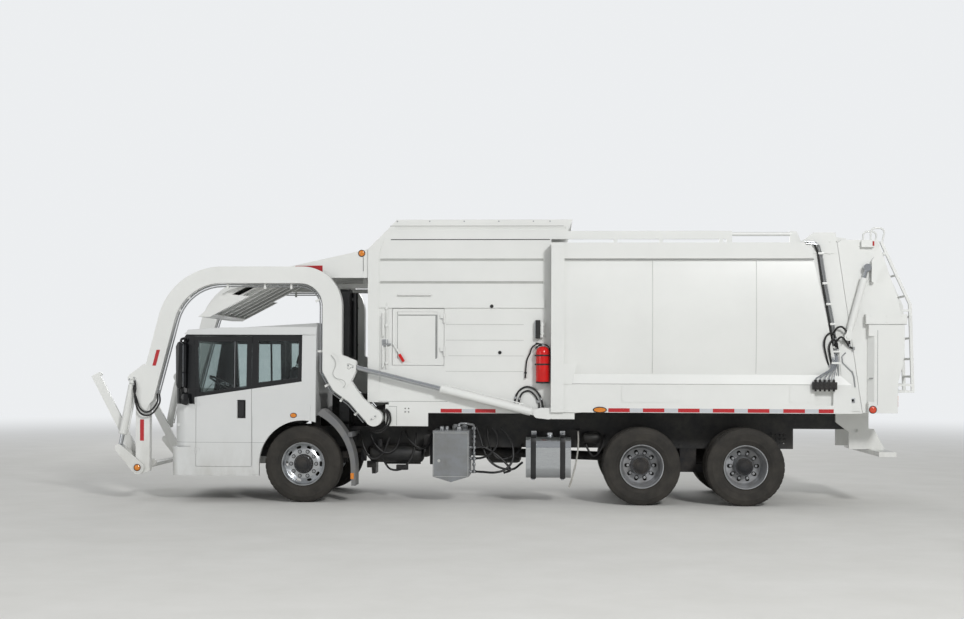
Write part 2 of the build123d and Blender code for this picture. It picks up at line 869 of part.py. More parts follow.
def arm_block(y, width):
    """One lift arm between y and y + width, built in place."""
    with BuildPart() as arm:
        with BuildSketch(side(y + width)):
            with BuildLine():
                FilletPolyline(
                    (leg_front_x, 1590),
                    (front_leg_x(1800), 1800),
                    (arm_front_x, arm_top),
                    (arm_rear_x, arm_top),
                    (arm_rear_x, 1960),
                    (705, 1880),
                    (705, 1740),
                    (640, 1610),
                    (800, 1380),
                    (1010, 1210),
                    (940, 1060),
                    (820, 1100),
                    (620, 1330),
                    (400, 1490),
                    (arm_rear_x - 254, 1740),
                    (arm_rear_x - 254, arm_top - arm_depth),
                    (front_leg_x(arm_top - arm_depth, arm_depth), arm_top - arm_depth),
                    (front_leg_x(1356, arm_depth), 1356),
                    (leg_rear_x, 1300),
                    (-2105, 1190),
                    (-2172, 1262),
                    (leg_front_x, 1430),
                    close=True,
                    radius=(
                        1, 40, front_bend, rear_bend, 20, 40, 40, 30, 60, 40, 40, 40, 120, 120, 60,
                        310, 655, 60, 40, 25, 20, 60,
                    ),
                )
            make_face()
            with Locations(arm_pivot):
                Circle(115)
        extrude(amount=width)
        # the head that carries the fork cylinder's top pin
        with BuildSketch(side(y + width)):
            with Locations(fork_top_pin):
                Circle(62)
            with Locations((-2130, 1800), (-2160, 1610)):
                Circle(30)
            make_hull()
        extrude(amount=width)
        # a doubler plate with a scalloped front edge on the outer face
        with BuildSketch(side(y if y < 0 else y + width + doubler)):
            with BuildLine():
                Spline(*doubler_edge)
                Polyline(
                    doubler_edge[-1], (632, 1588), (697, 1742), (697, 1872), (arm_rear_x, 1948),
                    (arm_rear_x - 70, 1990),
                    doubler_edge[0],
                )
            make_face()
        extrude(amount=doubler)
        # slots for the eyes of the fork cylinder and of the arm cylinder's rod
        slot_y = y + width / 2 + lug_gap / 2
        with BuildSketch(side(slot_y)):
            with Locations((-2280, 1600)):
                Rectangle(180, 380)
            with Locations((705, 1790)):
                Rectangle(300, 480)
        extrude(amount=lug_gap, mode=Mode.SUBTRACT)
        # the lower leg, narrower, with the fork hub's hole
        with BuildSketch(side(y + width / 2 + leg_width / 2)):
            with BuildLine():
                Polyline(
                    (leg_front_x, fork_pivot[1]), (leg_front_x, 1560), (leg_rear_x, 1500),
                    (leg_rear_x, fork_pivot[1] - 40), (-2150, fork_pivot[1] - 70), close=True,
                )
            make_face()
            with Locations(fork_pivot):
                Circle(fork_hub)
        extrude(amount=leg_width)
        with BuildSketch(side(y + width)):
            with Locations(fork_pivot):
                Circle(fork_pin_radius + fit_gap)
        extrude(amount=width, mode=Mode.SUBTRACT)
        # the pins that hold the fork cylinder's top eye and the arm cylinder's rod
        with BuildSketch(side(y + width)):
            with Locations(fork_top_pin):
                Circle(pin_radius)
        extrude(amount=width)
    return arm.part


arm_pair = [arm_block(-arm_inner - arm_width, arm_width), arm_block(arm_inner, arm_width)]
with BuildPart() as arms:
    add(arm_pair)
finish(arms.part, "arms")

with BuildPart() as torque_tube:
    with BuildSketch(side(arm_inner)):
        with Locations(arm_pivot):
            Circle(torque_radius)
    extrude(amount=2 * arm_inner)
finish(torque_tube.part, "torque_tube")


# Forks, with the cross tube and the crank plates that turn on the arms' feet
leg_inner = arm_centre - leg_width / 2
leg_outer = arm_centre + leg_width / 2
with BuildPart() as forks:
    with BuildSketch(side(leg_inner - run_gap)):
        with Locations(fork_pivot):
            Circle(cross_tube_radius)
    extrude(amount=2 * (leg_inner - run_gap))
    for inner in (leg_inner - run_gap - crank_plate, leg_outer + run_gap):
        for y in (inner + crank_plate, -inner):
            with BuildSketch(side(y)):
                with Locations(fork_pivot):
                    Circle(fork_hub)
                with Locations(fork_crank):
                    Circle(48)
                make_hull()
            extrude(amount=crank_plate)
    for y in (leg_outer + run_gap, -(leg_inner - run_gap)):
        with BuildSketch(side(y)):
            with Locations(fork_pivot):
                Circle(fork_pin_radius)
        extrude(amount=leg_outer - leg_inner + 2 * run_gap)
    for y in (fork_y + fork_thick, -fork_y):
        with BuildSketch(side(y)):
            with Locations(fork_pivot):
                Circle(fork_hub)
                with Locations(Location((0, 0), fork_angle)):
                    with Locations((fork_length / 2, 0)):
                        Rectangle(fork_length, fork_depth)
                    # a stop at the tip
                    with Locations((fork_length - 25, -fork_depth / 2)):
                        RectangleRounded(50, 60, 15)
        extrude(amount=fork_thick)
        # a heel lug behind the hub
        with BuildSketch(side(y)):
            with Locations(fork_pivot):
                Circle(fork_hub)
                with Locations((150, 65)):
                    Circle(45)
            make_hull()
        extrude(amount=fork_thick)
    # bosses for the side lamps on the outer crank plates
    boss_face = leg_outer + run_gap + crank_plate
    for y in (boss_face + hub_boss, -boss_face):
        with BuildSketch(side(y)):
            with Locations(fork_pivot):
                Circle(fork_hub - 25)
        extrude(amount=hub_boss)
finish(forks.part, "forks")


# Cylinders
def span(a, b):
    return hypot(b[0] - a[0], b[1] - a[1])


def along(a, b):
    """Degrees from +X, in the side view, of the line from a to b."""
    return degrees(atan2(b[1] - a[1], b[0] - a[0]))


def ram_plane(y, base, tip):
    """A plane across the cylinder's axis at its base pin, facing its tip."""
    turn = radians(along(base, tip))
    return Plane(
        origin=(front_axle_x + base[0], y, base[1]),
        x_dir=(0, 1, 0),
        z_dir=(cos(turn), 0, sin(turn)),
    )


def barrels(base, tip, y, barrel_radius, barrel_length, rod_radius, gland_start=95):
    """The pair of cylinder barrels, each with its base eye, bored for its rod."""
    with BuildPart() as pair:
        for centre in (-y, y):
            plane = ram_plane(centre, base, tip)
            with BuildSketch(plane.offset(gland_start)):
                Circle(barrel_radius)
            extrude(amount=barrel_length - gland_start)
            with BuildSketch(plane):
                Rectangle(eye_width, 2 * eye_radius - 24)
            extrude(amount=gland_start + 1)
            with BuildSketch(side(centre + eye_width / 2)):
                with Locations(base):
                    Circle(eye_radius)
            extrude(amount=eye_width)
            with BuildSketch(side(centre + eye_width / 2)):
                with Locations(base):
                    Circle(pin_radius + fit_gap)
            extrude(amount=eye_width, mode=Mode.SUBTRACT)
            with BuildSketch(plane.offset(gland_start + 30)):
                Circle(rod_radius + fit_gap)
            extrude(amount=barrel_length, mode=Mode.SUBTRACT)
    return pair.part


def rods(base, tip, y, rod_radius, inside):
    """The pair of rods, each with its eye and the short pin that the eye carries."""
    with BuildPart() as pair:
        for centre in (-y, y):
            plane = ram_plane(centre, base, tip)
            with BuildSketch(plane.offset(inside)):
                Circle(rod_radius)
            extrude(amount=span(base, tip) - inside)
            with BuildSketch(side(centre + (eye_width - 4) / 2)):
                with Locations(tip):
                    Circle(eye_radius)
            extrude(amount=eye_width - 4)
    return pair.part


arm_barrel_radius = 57
arm_barrel_length = 1330
arm_rod_radius = 33
# the arm cylinders are nearly full out at rest and draw in as the arms rise
arm_rod_inside = arm_barrel_length - 150
finish(
    barrels(arm_base_pin, arm_rod_pin, arm_centre, arm_barrel_radius, arm_barrel_length, arm_rod_radius),
    "arm_barrels",
)
finish(rods(arm_base_pin, arm_rod_pin, arm_centre, arm_rod_radius, arm_rod_inside), "arm_rods")

fork_barrel_radius = 52
fork_barrel_length = 760
fork_rod_radius = 28
fork_rod_inside = 140
finish(
    barrels(fork_top_pin, fork_crank, arm_centre, fork_barrel_radius, fork_barrel_length, fork_rod_radius),
    "fork_barrels",
)
finish(rods(fork_top_pin, fork_crank, arm_centre, fork_rod_radius, fork_rod_inside), "fork_rods")

tail_barrel_radius = 45
tail_barrel_length = 790
tail_rod_radius = 25
tail_rod_inside = 130
finish(
    barrels(tail_base_pin, tail_rod_pin, tail_ram_y, tail_barrel_radius, tail_barrel_length, tail_rod_radius, 80),
    "tailgate_barrels",
)
finish(rods(tail_base_pin, tail_rod_pin, tail_ram_y, tail_rod_radius, tail_rod_inside), "tailgate_rods")

# Sills on the frame rails, with the torque tube's bearings in front
with BuildPart() as sills:
    for y in (-rail_outer + rail_flange, rail_outer):
        with BuildSketch(side(y)):
            with BuildLine():
                Polyline(
                    (sill_front, rail_top), (rear_x(rail_top) - 60, rail_top), (rear_x(sill_top) - 60, sill_top),
                    (sill_front, sill_top), close=True,
                )
            make_face()
            with Locations((arm_pivot[0], (rail_top + arm_pivot[1]) / 2)):
                Rectangle(2 * torque_radius + 100, arm_pivot[1] - rail_top)
            with Locations((sill_front - 20, (rail_top + arm_pivot[1]) / 2)):
                Rectangle(60, arm_pivot[1] - rail_top)
            with Locations(arm_pivot):
                Circle(torque_radius + 50)
                Circle(torque_radius + fit_gap, mode=Mode.SUBTRACT)
        extrude(amount=rail_flange)
finish(sills.part, "sills")


# Hopper
def hopper_outline(inset, top_extra=0):
    """Side view of the hopper, or of its inside when drawn in by inset."""
    x0 = hopper_front_x + inset
    return [
        (x0, 1330 + inset),
        (sill_front, 1330 + inset),
        (sill_front, sill_top + inset),
        (body_front_x, sill_top + inset),
        (body_front_x, hopper_top + top_extra),
        (hopper_front_x + hopper_chamfer + 0.4 * inset, hopper_top + top_extra),
        (x0, hopper_top - hopper_chamfer - 0.4 * inset),
    ]


side_door_outline = [
    (side_door_front, side_door_bottom),
    (side_door_rear, side_door_bottom),
    (side_door_rear, side_door_top),
    (side_door_front, side_door_top),
]
belt_rear = body_front_x - 85
corner_reach = 10
bar_y = -(hopper_half + handrail_reach)
bar_foot = -(hopper_half - 5)
# ends of each hand bar, seen from the left
bar_ends = [
    ((1240, 2761), (1680, 2761)),
    ((1040, 2200), (1040, 2520)),
    ((1040, 1786), (1040, 2080)),
]
hand_bars = [
    bent_bar([(x0, bar_foot, z0), (x0, bar_y, z0), (x1, bar_y, z1), (x1, bar_foot, z1)], handrail_radius, 14)
    for (x0, z0), (x1, z1) in bar_ends
]
panel_depth = 8
side_knuckle = 12
side_hinge_length = 60
side_hinge_heights = [2010, 2450]
side_hinge_y = hopper_half + side_knuckle + 1
with BuildPart() as hopper:
    with BuildSketch(side(hopper_half)):
        add(outline(hopper_outline(0)))
    extrude(amount=2 * hopper_half)
    for y in (-hopper_half + hopper_wall, hopper_half):
        with BuildSketch(side(y)):
            with BuildLine():
                Polyline(
                    (1075, 1300), (1075, 1013), (1646, 1013), (1646, 1190), (3050, 1190), (3050, 1300), close=True,
                )
            make_face()
        extrude(amount=hopper_wall)
    # corner posts that follow the chamfered front, and a belt over the side door
    for y in (-hopper_half + 1, hopper_half + corner_reach):
        with BuildSketch(side(y)):
            with BuildLine():
                Polyline(
                    (hopper_front_x, 1330), (hopper_front_x, hopper_top - hopper_chamfer),
                    (hopper_front_x + hopper_chamfer, hopper_top), (post_rear + hopper_chamfer - 60, hopper_top),
                    (post_rear, hopper_top - hopper_chamfer - 60), (post_rear, 1330), close=True,
                )
            make_face()
        extrude(amount=corner_reach + 1)
    for y in (-hopper_half + 1, hopper_half + belt_depth):
        with BuildSketch(side(y)):
            with Locations(((post_rear + belt_rear) / 2, (belt_top + belt_bottom) / 2)):
                Rectangle(belt_rear - post_rear, belt_top - belt_bottom)
        extrude(amount=belt_depth + 1)
    with BuildSketch(side(hopper_half - hopper_wall)):
        add(outline(hopper_outline(hopper_wall, 50)))
        with Locations((body_front_x, 2400)):
            Rectangle(20, 2 * (2400 - sill_top - hopper_wall))
    extrude(amount=2 * (hopper_half - hopper_wall), mode=Mode.SUBTRACT)
    with BuildSketch(side(-hopper_half + 2 * hopper_wall)):
        add(outline(side_door_outline))
    extrude(amount=3 * hopper_wall, mode=Mode.SUBTRACT)
    # pressed steps along both side skins, each with its slope facing down
    for sign in (-1, 1):
        for z in groove_heights:
            with BuildSketch(across(post_rear)):
                with BuildLine():
                    Polyline(
                        (sign * (hopper_half + 1), z + 10), (sign * (hopper_half - groove_depth), z - 22),
                        (sign * (hopper_half + 1), z - 34), close=True,
                    )
                make_face()
            extrude(amount=belt_rear - post_rear, mode=Mode.SUBTRACT)
    # hand bars at the side door
    add(hand_bars)
    for z in side_hinge_heights:
        with BuildSketch(level(z - side_hinge_length)):
            with Locations((side_door_rear, -side_hinge_y)):
                Circle(side_knuckle)
            with Locations((side_door_rear + 32, -(hopper_half + 4))):
                Rectangle(56, 8)
        extrude(amount=side_hinge_length)
finish(hopper.part, "hopper")

with BuildPart() as side_door:
    with BuildSketch(side(-hopper_half + hopper_wall - 10)):
        add(outline(side_door_outline, run_gap))
    extrude(amount=side_door_thick)
    leaf_face = hopper_half - hopper_wall + 10 + side_door_thick
    # the leaf's panel is pressed in, with a latch lever at its front edge
    with BuildSketch(side(-leaf_face + panel_depth)):
        with BuildLine():
            Polyline(
                (side_door_front + door_border, side_door_bottom + 2 * door_border),
                (side_door_rear - 2 * door_border, side_door_bottom + 2 * door_border),
                (side_door_rear - 2 * door_border, side_door_top - door_border),
                (side_door_front + door_border, side_door_top - door_border), close=True,
            )
        make_face()
        fillet(vertices(), radius=25)
    extrude(amount=panel_depth + 1, mode=Mode.SUBTRACT)
    with BuildSketch(side(-leaf_face + 1)):
        with Locations((side_door_front + door_border / 2, 2107)):
            Circle(14)
    extrude(amount=34)
    with BuildSketch(side(-leaf_face - 23)):
        with Locations((side_door_front + door_border / 2, 2107)):
            Circle(9)
            with Locations((118, -176)):
                Circle(12)
        make_hull()
    extrude(amount=8)
    for z in side_hinge_heights:
        with BuildSketch(level(z + fit_gap)):
            with Locations((side_door_rear, -side_hinge_y)):
                Circle(side_knuckle)
            with Locations((side_door_rear - 30, -(leaf_face + side_hinge_y) / 2)):
                Rectangle(48, side_hinge_y - leaf_face)
        extrude(amount=side_hinge_length)
finish(side_door.part, "side_door")

# Cab shield, a hollow wedge from the hopper's front over the cab
shield_half = 990
shield_wall = 30
deck_rise = 55
deck_thick = 20
shield_tip = (-1304, 2466)
shield_heel = (-302, 2991)
shield_lip = (-1464, 2468)
# the curved nose, from the lip up
nose_line = [shield_lip, (-1363, 2557), (-1275, 2665), (-1139, 2773), (-950, 2853)]
shield_slope = atan2(shield_heel[1] - shield_tip[1], shield_heel[0] - shield_tip[0])
shield_end = hopper_front_x - 40
rib_width = 60
rib_depth = 38
rib_stations = [-800, -480, -160, 160, 480, 800]
bar_spacing = 640


def underside(rise, ahead=0):
    """The underside's line raised square to itself: its start, its corner and its rear end."""
    start_x = shield_tip[0] - rise * sin(shield_slope) + ahead * cos(shield_slope)
    start_z = shield_tip[1] + rise * cos(shield_slope) + ahead * sin(shield_slope)
    corner = (shield_heel[0] - rise * tan(shield_slope / 2), shield_heel[1] + rise)
    return [(start_x, start_z), corner, (shield_end, shield_heel[1] + rise)]


with BuildPart() as canopy:
    with BuildSketch(side(shield_half)):
        with BuildLine():
            Spline(*nose_line)
            Polyline(
                nose_line[-1], (-246, 3136), (hopper_front_x, 3376), (hopper_front_x, shield_heel[1]), shield_heel,
                shield_tip, shield_lip,
            )
        make_face()
    extrude(amount=2 * shield_half)
    # the space between the top sheet and the deck
    with BuildSketch(side(shield_half - shield_wall)):
        with BuildLine():
            Polyline(
                *underside(deck_rise + deck_thick, 110), (shield_end, 3330), (-250, 3100), (-945, 2820),
                (-1120, 2742), (-1230, 2655), close=True,
            )
        make_face()
    extrude(amount=2 * (shield_half - shield_wall), mode=Mode.SUBTRACT)
    # the deck lies up between the side panels
    with BuildSketch(side(shield_half - shield_wall)):
        with BuildLine():
            Polyline(*underside(deck_rise, 60), *reversed(underside(-100, 90)), close=True)
        make_face()
    extrude(amount=2 * (shield_half - shield_wall), mode=Mode.SUBTRACT)
    # ribs under the deck
    for y in rib_stations:
        with BuildSketch(side(y + rib_width / 2)):
            with BuildLine():
                Polyline(*underside(deck_rise + 1, 60), *reversed(underside(deck_rise - rib_depth, 60)), close=True)
            make_face()
        extrude(amount=rib_width)
    # the side panels are cut away below the arms' top run
    for y in (shield_half + 10, -shield_half + shield_wall + 5):
        with BuildSketch(side(y)):
            with BuildLine():
                Polyline((-1003, 2766), (-815, 2868), (-440, 2918), (-727, 2740), close=True)
            make_face()
        extrude(amount=shield_wall + 15, mode=Mode.SUBTRACT)
    # two bars under the rear of the deck, hung from it
    for y in (-bar_spacing, bar_spacing):
        with BuildSketch(side(y + rib_width / 2)):
            with Locations(((190 + hopper_front_x) / 2, 2896)):
                Rectangle(hopper_front_x - 190, 57)
            for x in (230, hopper_front_x - 80):
                with Locations((x, (2896 + shield_heel[1] + deck_rise) / 2)):
                    Rectangle(60, shield_heel[1] + deck_rise - 2896 + 2)
        extrude(amount=rib_width)
finish(canopy.part, "canopy")

# Rails for the sliding cover, on the hopper's rims and on brackets along the roof
cover_rail_front = hopper_front_x + hopper_chamfer
bracket_stations = [4127, 4726, 5513]
bracket_width = 48
pipe_radius = 26
pipe_rear = 6440
pipe_height = hopper_top + rail_depth / 2 + 12
with BuildPart() as cover_rails:
    for y in (-hopper_half + hopper_wall, hopper_half):
        with BuildSketch(side(y)):
            with BuildLine():
                Polyline(
                    (cover_rail_front, hopper_top), (cover_rail_rear, hopper_top),
                    (cover_rail_rear, hopper_top + rail_depth),
                    (cover_rail_front + rail_depth, hopper_top + rail_depth), close=True,
                )
            make_face()
            for x in bracket_stations:
                with Locations((x, (body_top + hopper_top) / 2)):
                    Rectangle(bracket_width, hopper_top - body_top)
            # the end block, and the foot of the pipe behind it
            with Locations((cover_rail_rear - end_block / 2, (body_top + hopper_top) / 2)):
                Rectangle(end_block, hopper_top - body_top)
            with BuildLine():
                Polyline(
                    (pipe_rear - 30, body_top), (pipe_rear - 30, pipe_height + pipe_radius + 8),
                    (pipe_rear + 60, pipe_height + pipe_radius + 8), (pipe_rear + 130, body_top), close=True,
                )
            make_face()
        extrude(amount=hopper_wall)
        pipe_start = (front_axle_x + cover_rail_rear - 5, y - hopper_wall / 2, pipe_height)
        with BuildSketch(Plane(origin=pipe_start, z_dir=(1, 0, 0))):
            Circle(pipe_radius)
        extrude(amount=pipe_rear - cover_rail_rear + 5)
finish(cover_rails.part, "cover_rails")

cover_bottom = hopper_top + rail_depth + fit_gap
cover_top = cover_bottom + cover_depth
with BuildPart() as hopper_cover:
    with BuildSketch(side(hopper_half)):
        with BuildLine():
            Polyline(
                (cover_front + 70, cover_bottom), (cover_front + 215, cover_top), (cover_rear + 60, cover_top),
                (cover_rear, cover_bottom), close=True,
            )
        make_face()
    extrude(amount=2 * hopper_half)
    with BuildSketch(side(cover_half - 60)):
        with BuildLine():
            Polyline(
                (cover_front + 110, cover_bottom - 1), (cover_front + 255, cover_top - 30),
                (cover_rear + 80, cover_top - 30), (cover_rear + 80, cover_bottom - 1), close=True,
            )
        make_face()
    extrude(amount=2 * (cover_half - 60), mode=Mode.SUBTRACT)
    # a pressed step along each side
    for sign in (-1, 1):
        with BuildSketch(across(cover_front + 190)):
            with BuildLine():
                Polyline(
                    (sign * (hopper_half + 1), cover_bottom + 64),
                    (sign * (hopper_half - groove_depth), cover_bottom + 32),
                    (sign * (hopper_half + 1), cover_bottom + 20), close=True,
                )
            make_face()
        extrude(amount=cover_rear - cover_front - 220, mode=Mode.SUBTRACT)
finish(hopper_cover.part, "hopper_cover")


# Body
def body_section(inset):
    """The barrel-sided cross section, closed, or drawn in by inset."""
    with BuildSketch(Plane.XY, mode=Mode.PRIVATE) as section:
        with BuildLine():
            Polyline(
                (-barrel_half + inset, sill_top + inset),
                (-barrel_half + inset, skirt_top),
                (-shoulder_half + inset, barrel_bottom),
            )
            ThreePointArc(
                (-shoulder_half + inset, barrel_bottom),
                (-barrel_half + inset, (barrel_bottom + beam_bottom) / 2),
                (-shoulder_half + inset, beam_bottom),
            )
            Polyline(
                (-shoulder_half + inset, beam_bottom),
                (-shoulder_half - beam_reach + inset, beam_bottom + beam_reach / 2),
                (-shoulder_half - beam_reach + inset, body_top - inset),
                (shoulder_half + beam_reach - inset, body_top - inset),
                (shoulder_half + beam_reach - inset, beam_bottom + beam_reach / 2),
                (shoulder_half - inset, beam_bottom),
            )
            ThreePointArc(
                (shoulder_half - inset, beam_bottom),
                (barrel_half - inset, (barrel_bottom + beam_bottom) / 2),
                (shoulder_half - inset, barrel_bottom),
            )
            Polyline(
                (shoulder_half - inset, barrel_bottom),
                (barrel_half - inset, skirt_top),
                (barrel_half - inset, sill_top + inset),
                (-barrel_half + inset, sill_top + inset),
            )
        make_face()
    return section.sketch


# the sides' leaning rear edge, ahead of the rear posts
side_end_low = (rear_x(barrel_bottom) - 250, barrel_bottom + 20)
side_end_high = (rear_x(beam_bottom) - 342, beam_bottom)
body_length = 4300
body_cut_rear = body_front_x + body_length + 1000
rear_top = 3575
plate_thick = 12
cover_plate = 5
cover_plates = ((4202, 4971), (6380, 6640))
cover_bottom_edge = 1345
pocket_depth = 60
valve_centre = (6820, 1576)
valve_height = 98
gusset_front = body_front_x + post_width
with BuildPart() as body:
    with BuildSketch(across(body_front_x)):
        add(body_section(0))
    extrude(amount=body_length)
    # the sides end ahead of the rear frame, which is narrower
    for y in (post_half + 10, -rear_frame_half):
        with BuildSketch(side(y)):
            with BuildLine():
                Polyline(
                    (rear_x(skirt_top) - 100, 0), (rear_x(skirt_top) - 100, skirt_top), side_end_low,
                    side_end_high, (side_end_high[0] - 80, body_top + 400), (body_cut_rear, body_top + 400),
                    (body_cut_rear, 0), close=True,
                )
            make_face()
        extrude(amount=post_half + 10 - rear_frame_half, mode=Mode.SUBTRACT)
    # front posts and the leaning rear frame
    with BuildSketch(across(body_front_x)):
        with Locations((0, (sill_top + body_top) / 2)):
            Rectangle(2 * post_half, body_top - sill_top)
    extrude(amount=post_width)
    with BuildSketch(side(rear_frame_half)):
        with BuildLine():
            Polyline(
                (rear_x(sill_top) - rear_frame_width, sill_top), (rear_x(sill_top) + 100, sill_top),
                (rear_x(rear_top) + 100, rear_top), (rear_x(rear_top) - rear_frame_width, rear_top), close=True,
            )
        make_face()
    extrude(amount=2 * rear_frame_half)
    # plates that carry the top beams up to the rear posts, and pads on the posts' feet
    for y in (-rear_frame_half + 20, rear_frame_half + plate_thick):
        with BuildSketch(side(y)):
            with BuildLine():
                Polyline(
                    (6480, 3300), (6480, 3420), (6530, 3450), (6690, rear_top), (rear_x(rear_top) - 60, rear_top),
                    (rear_x(3300) - 60, 3300), close=True,
                )
            make_face()
            with BuildLine():
                Polyline(
                    (7062, 1650), (7020, 2060), (7080, 2140), (rear_x(2140) - 20, 2100), (rear_x(1250) - 20, 1250),
                    (7110, 1240), close=True,
                )
            make_face()
        extrude(amount=plate_thick + 20)
    # gussets behind the front posts
    for y in (-shoulder_half, barrel_half + plate_thick):
        with BuildSketch(side(y)):
            with BuildLine():
                Polyline(
                    (gusset_front - 5, 1849), (gusset_front + 170, 1849), (gusset_front + 105, skirt_top - 2),
                    (gusset_front - 5, skirt_top - 2), close=True,
                )
            make_face()
        extrude(amount=barrel_half + plate_thick - shoulder_half)
    # access plates on the skirts
    for y in (-barrel_half + 5, barrel_half + cover_plate):
        with BuildSketch(side(y)):
            for x0, x1 in cover_plates:
                with Locations(((x0 + x1) / 2, (cover_bottom_edge + skirt_top) / 2)):
                    RectangleRounded(x1 - x0, skirt_top - cover_bottom_edge - 14, 12)
        extrude(amount=cover_plate + 5)
    # a pocket in the left skirt under the valve block
    with BuildSketch(side(-barrel_half + pocket_depth)):
        with Locations((valve_centre[0], (1320 + valve_centre[1] - valve_height / 2) / 2)):
            RectangleRounded(241, valve_centre[1] - valve_height / 2 - 1320, 10)
    extrude(amount=pocket_depth + 10, mode=Mode.SUBTRACT)
    with BuildSketch(across(body_front_x - 1)):
        with Locations((0, (body_floor + body_top - body_wall) / 2)):
            Rectangle(2 * body_inside_half, body_top - body_wall - body_floor)
    extrude(amount=4500, mode=Mode.SUBTRACT)
    with BuildSketch(side(1400)):
        with BuildLine():
            Polyline(
                (rear_x(1000), 1000), (rear_x(1000) + 900, 1000), (rear_x(3800) + 900, 3800),
                (rear_x(3800), 3800), close=True,
            )
        make_face()
    extrude(amount=2800, mode=Mode.SUBTRACT)
    # brackets for the arm cylinders' base pins
    for inner in (arm_centre - lug_gap / 2 - 30, arm_centre + lug_gap / 2):
        for y in (inner + 30, -inner):
            with BuildSketch(side(y)):
                with BuildLine():
                    Polyline(
                        (3100, 1255), (3100, 1137), (3250, 1120), (3560, 1200), (3700, sill_top),
                        (3640, body_floor - 5), (3150, body_floor - 5), close=True,
                    )
                make_face()
                with Locations(arm_base_pin):
                    Circle(60)
            extrude(amount=30)
    for y in (arm_centre + lug_gap / 2 + 30, -arm_centre + lug_gap / 2 + 30):
        with BuildSketch(side(y)):
            with Locations((3440, 1190)):
                Rectangle(300, 130)
        extrude(amount=lug_gap + 60)
    for y in (-arm_centre + lug_gap / 2 + 30, arm_centre + lug_gap / 2 + 30):
        with BuildSketch(side(y)):
            with Locations(arm_base_pin):
                Circle(pin_radius)
        extrude(amount=lug_gap + 60)
    # ears for the tailgate hinge
    for y in (-820, 820 + 60, -980, 980 + 60):
        with BuildSketch(side(y)):
            with BuildLine():
                Polyline(
                    (rear_x(3560) - 200, 3400), (rear_x(3400) - 1, 3400), (hinge[0] + 40, hinge[1] - 45),
                    (hinge[0] + 40, hinge[1] + 45), (rear_x(3560) - 200, 3560), close=True,
                )
            make_face()
        extrude(amount=60)
    with BuildSketch(side(1100)):
        with Locations(hinge):
            Circle(hinge_radius + fit_gap)
    extrude(amount=2200, mode=Mode.SUBTRACT)
    for y in (-rear_frame_half, tail_ram_y + eye_width / 2 + 12):
        with BuildSketch(side(y)):
            with Locations(tail_base_pin):
                Circle(pin_radius)
        extrude(amount=tail_ram_y + eye_width / 2 + 12 - rear_frame_half)
finish(body.part, "body")


# Tailgate, hung at the top of the body's rear frame
def seal_x(z):
    """The tailgate's leaning front face at height z."""
    return rear_x(z) + tail_gap


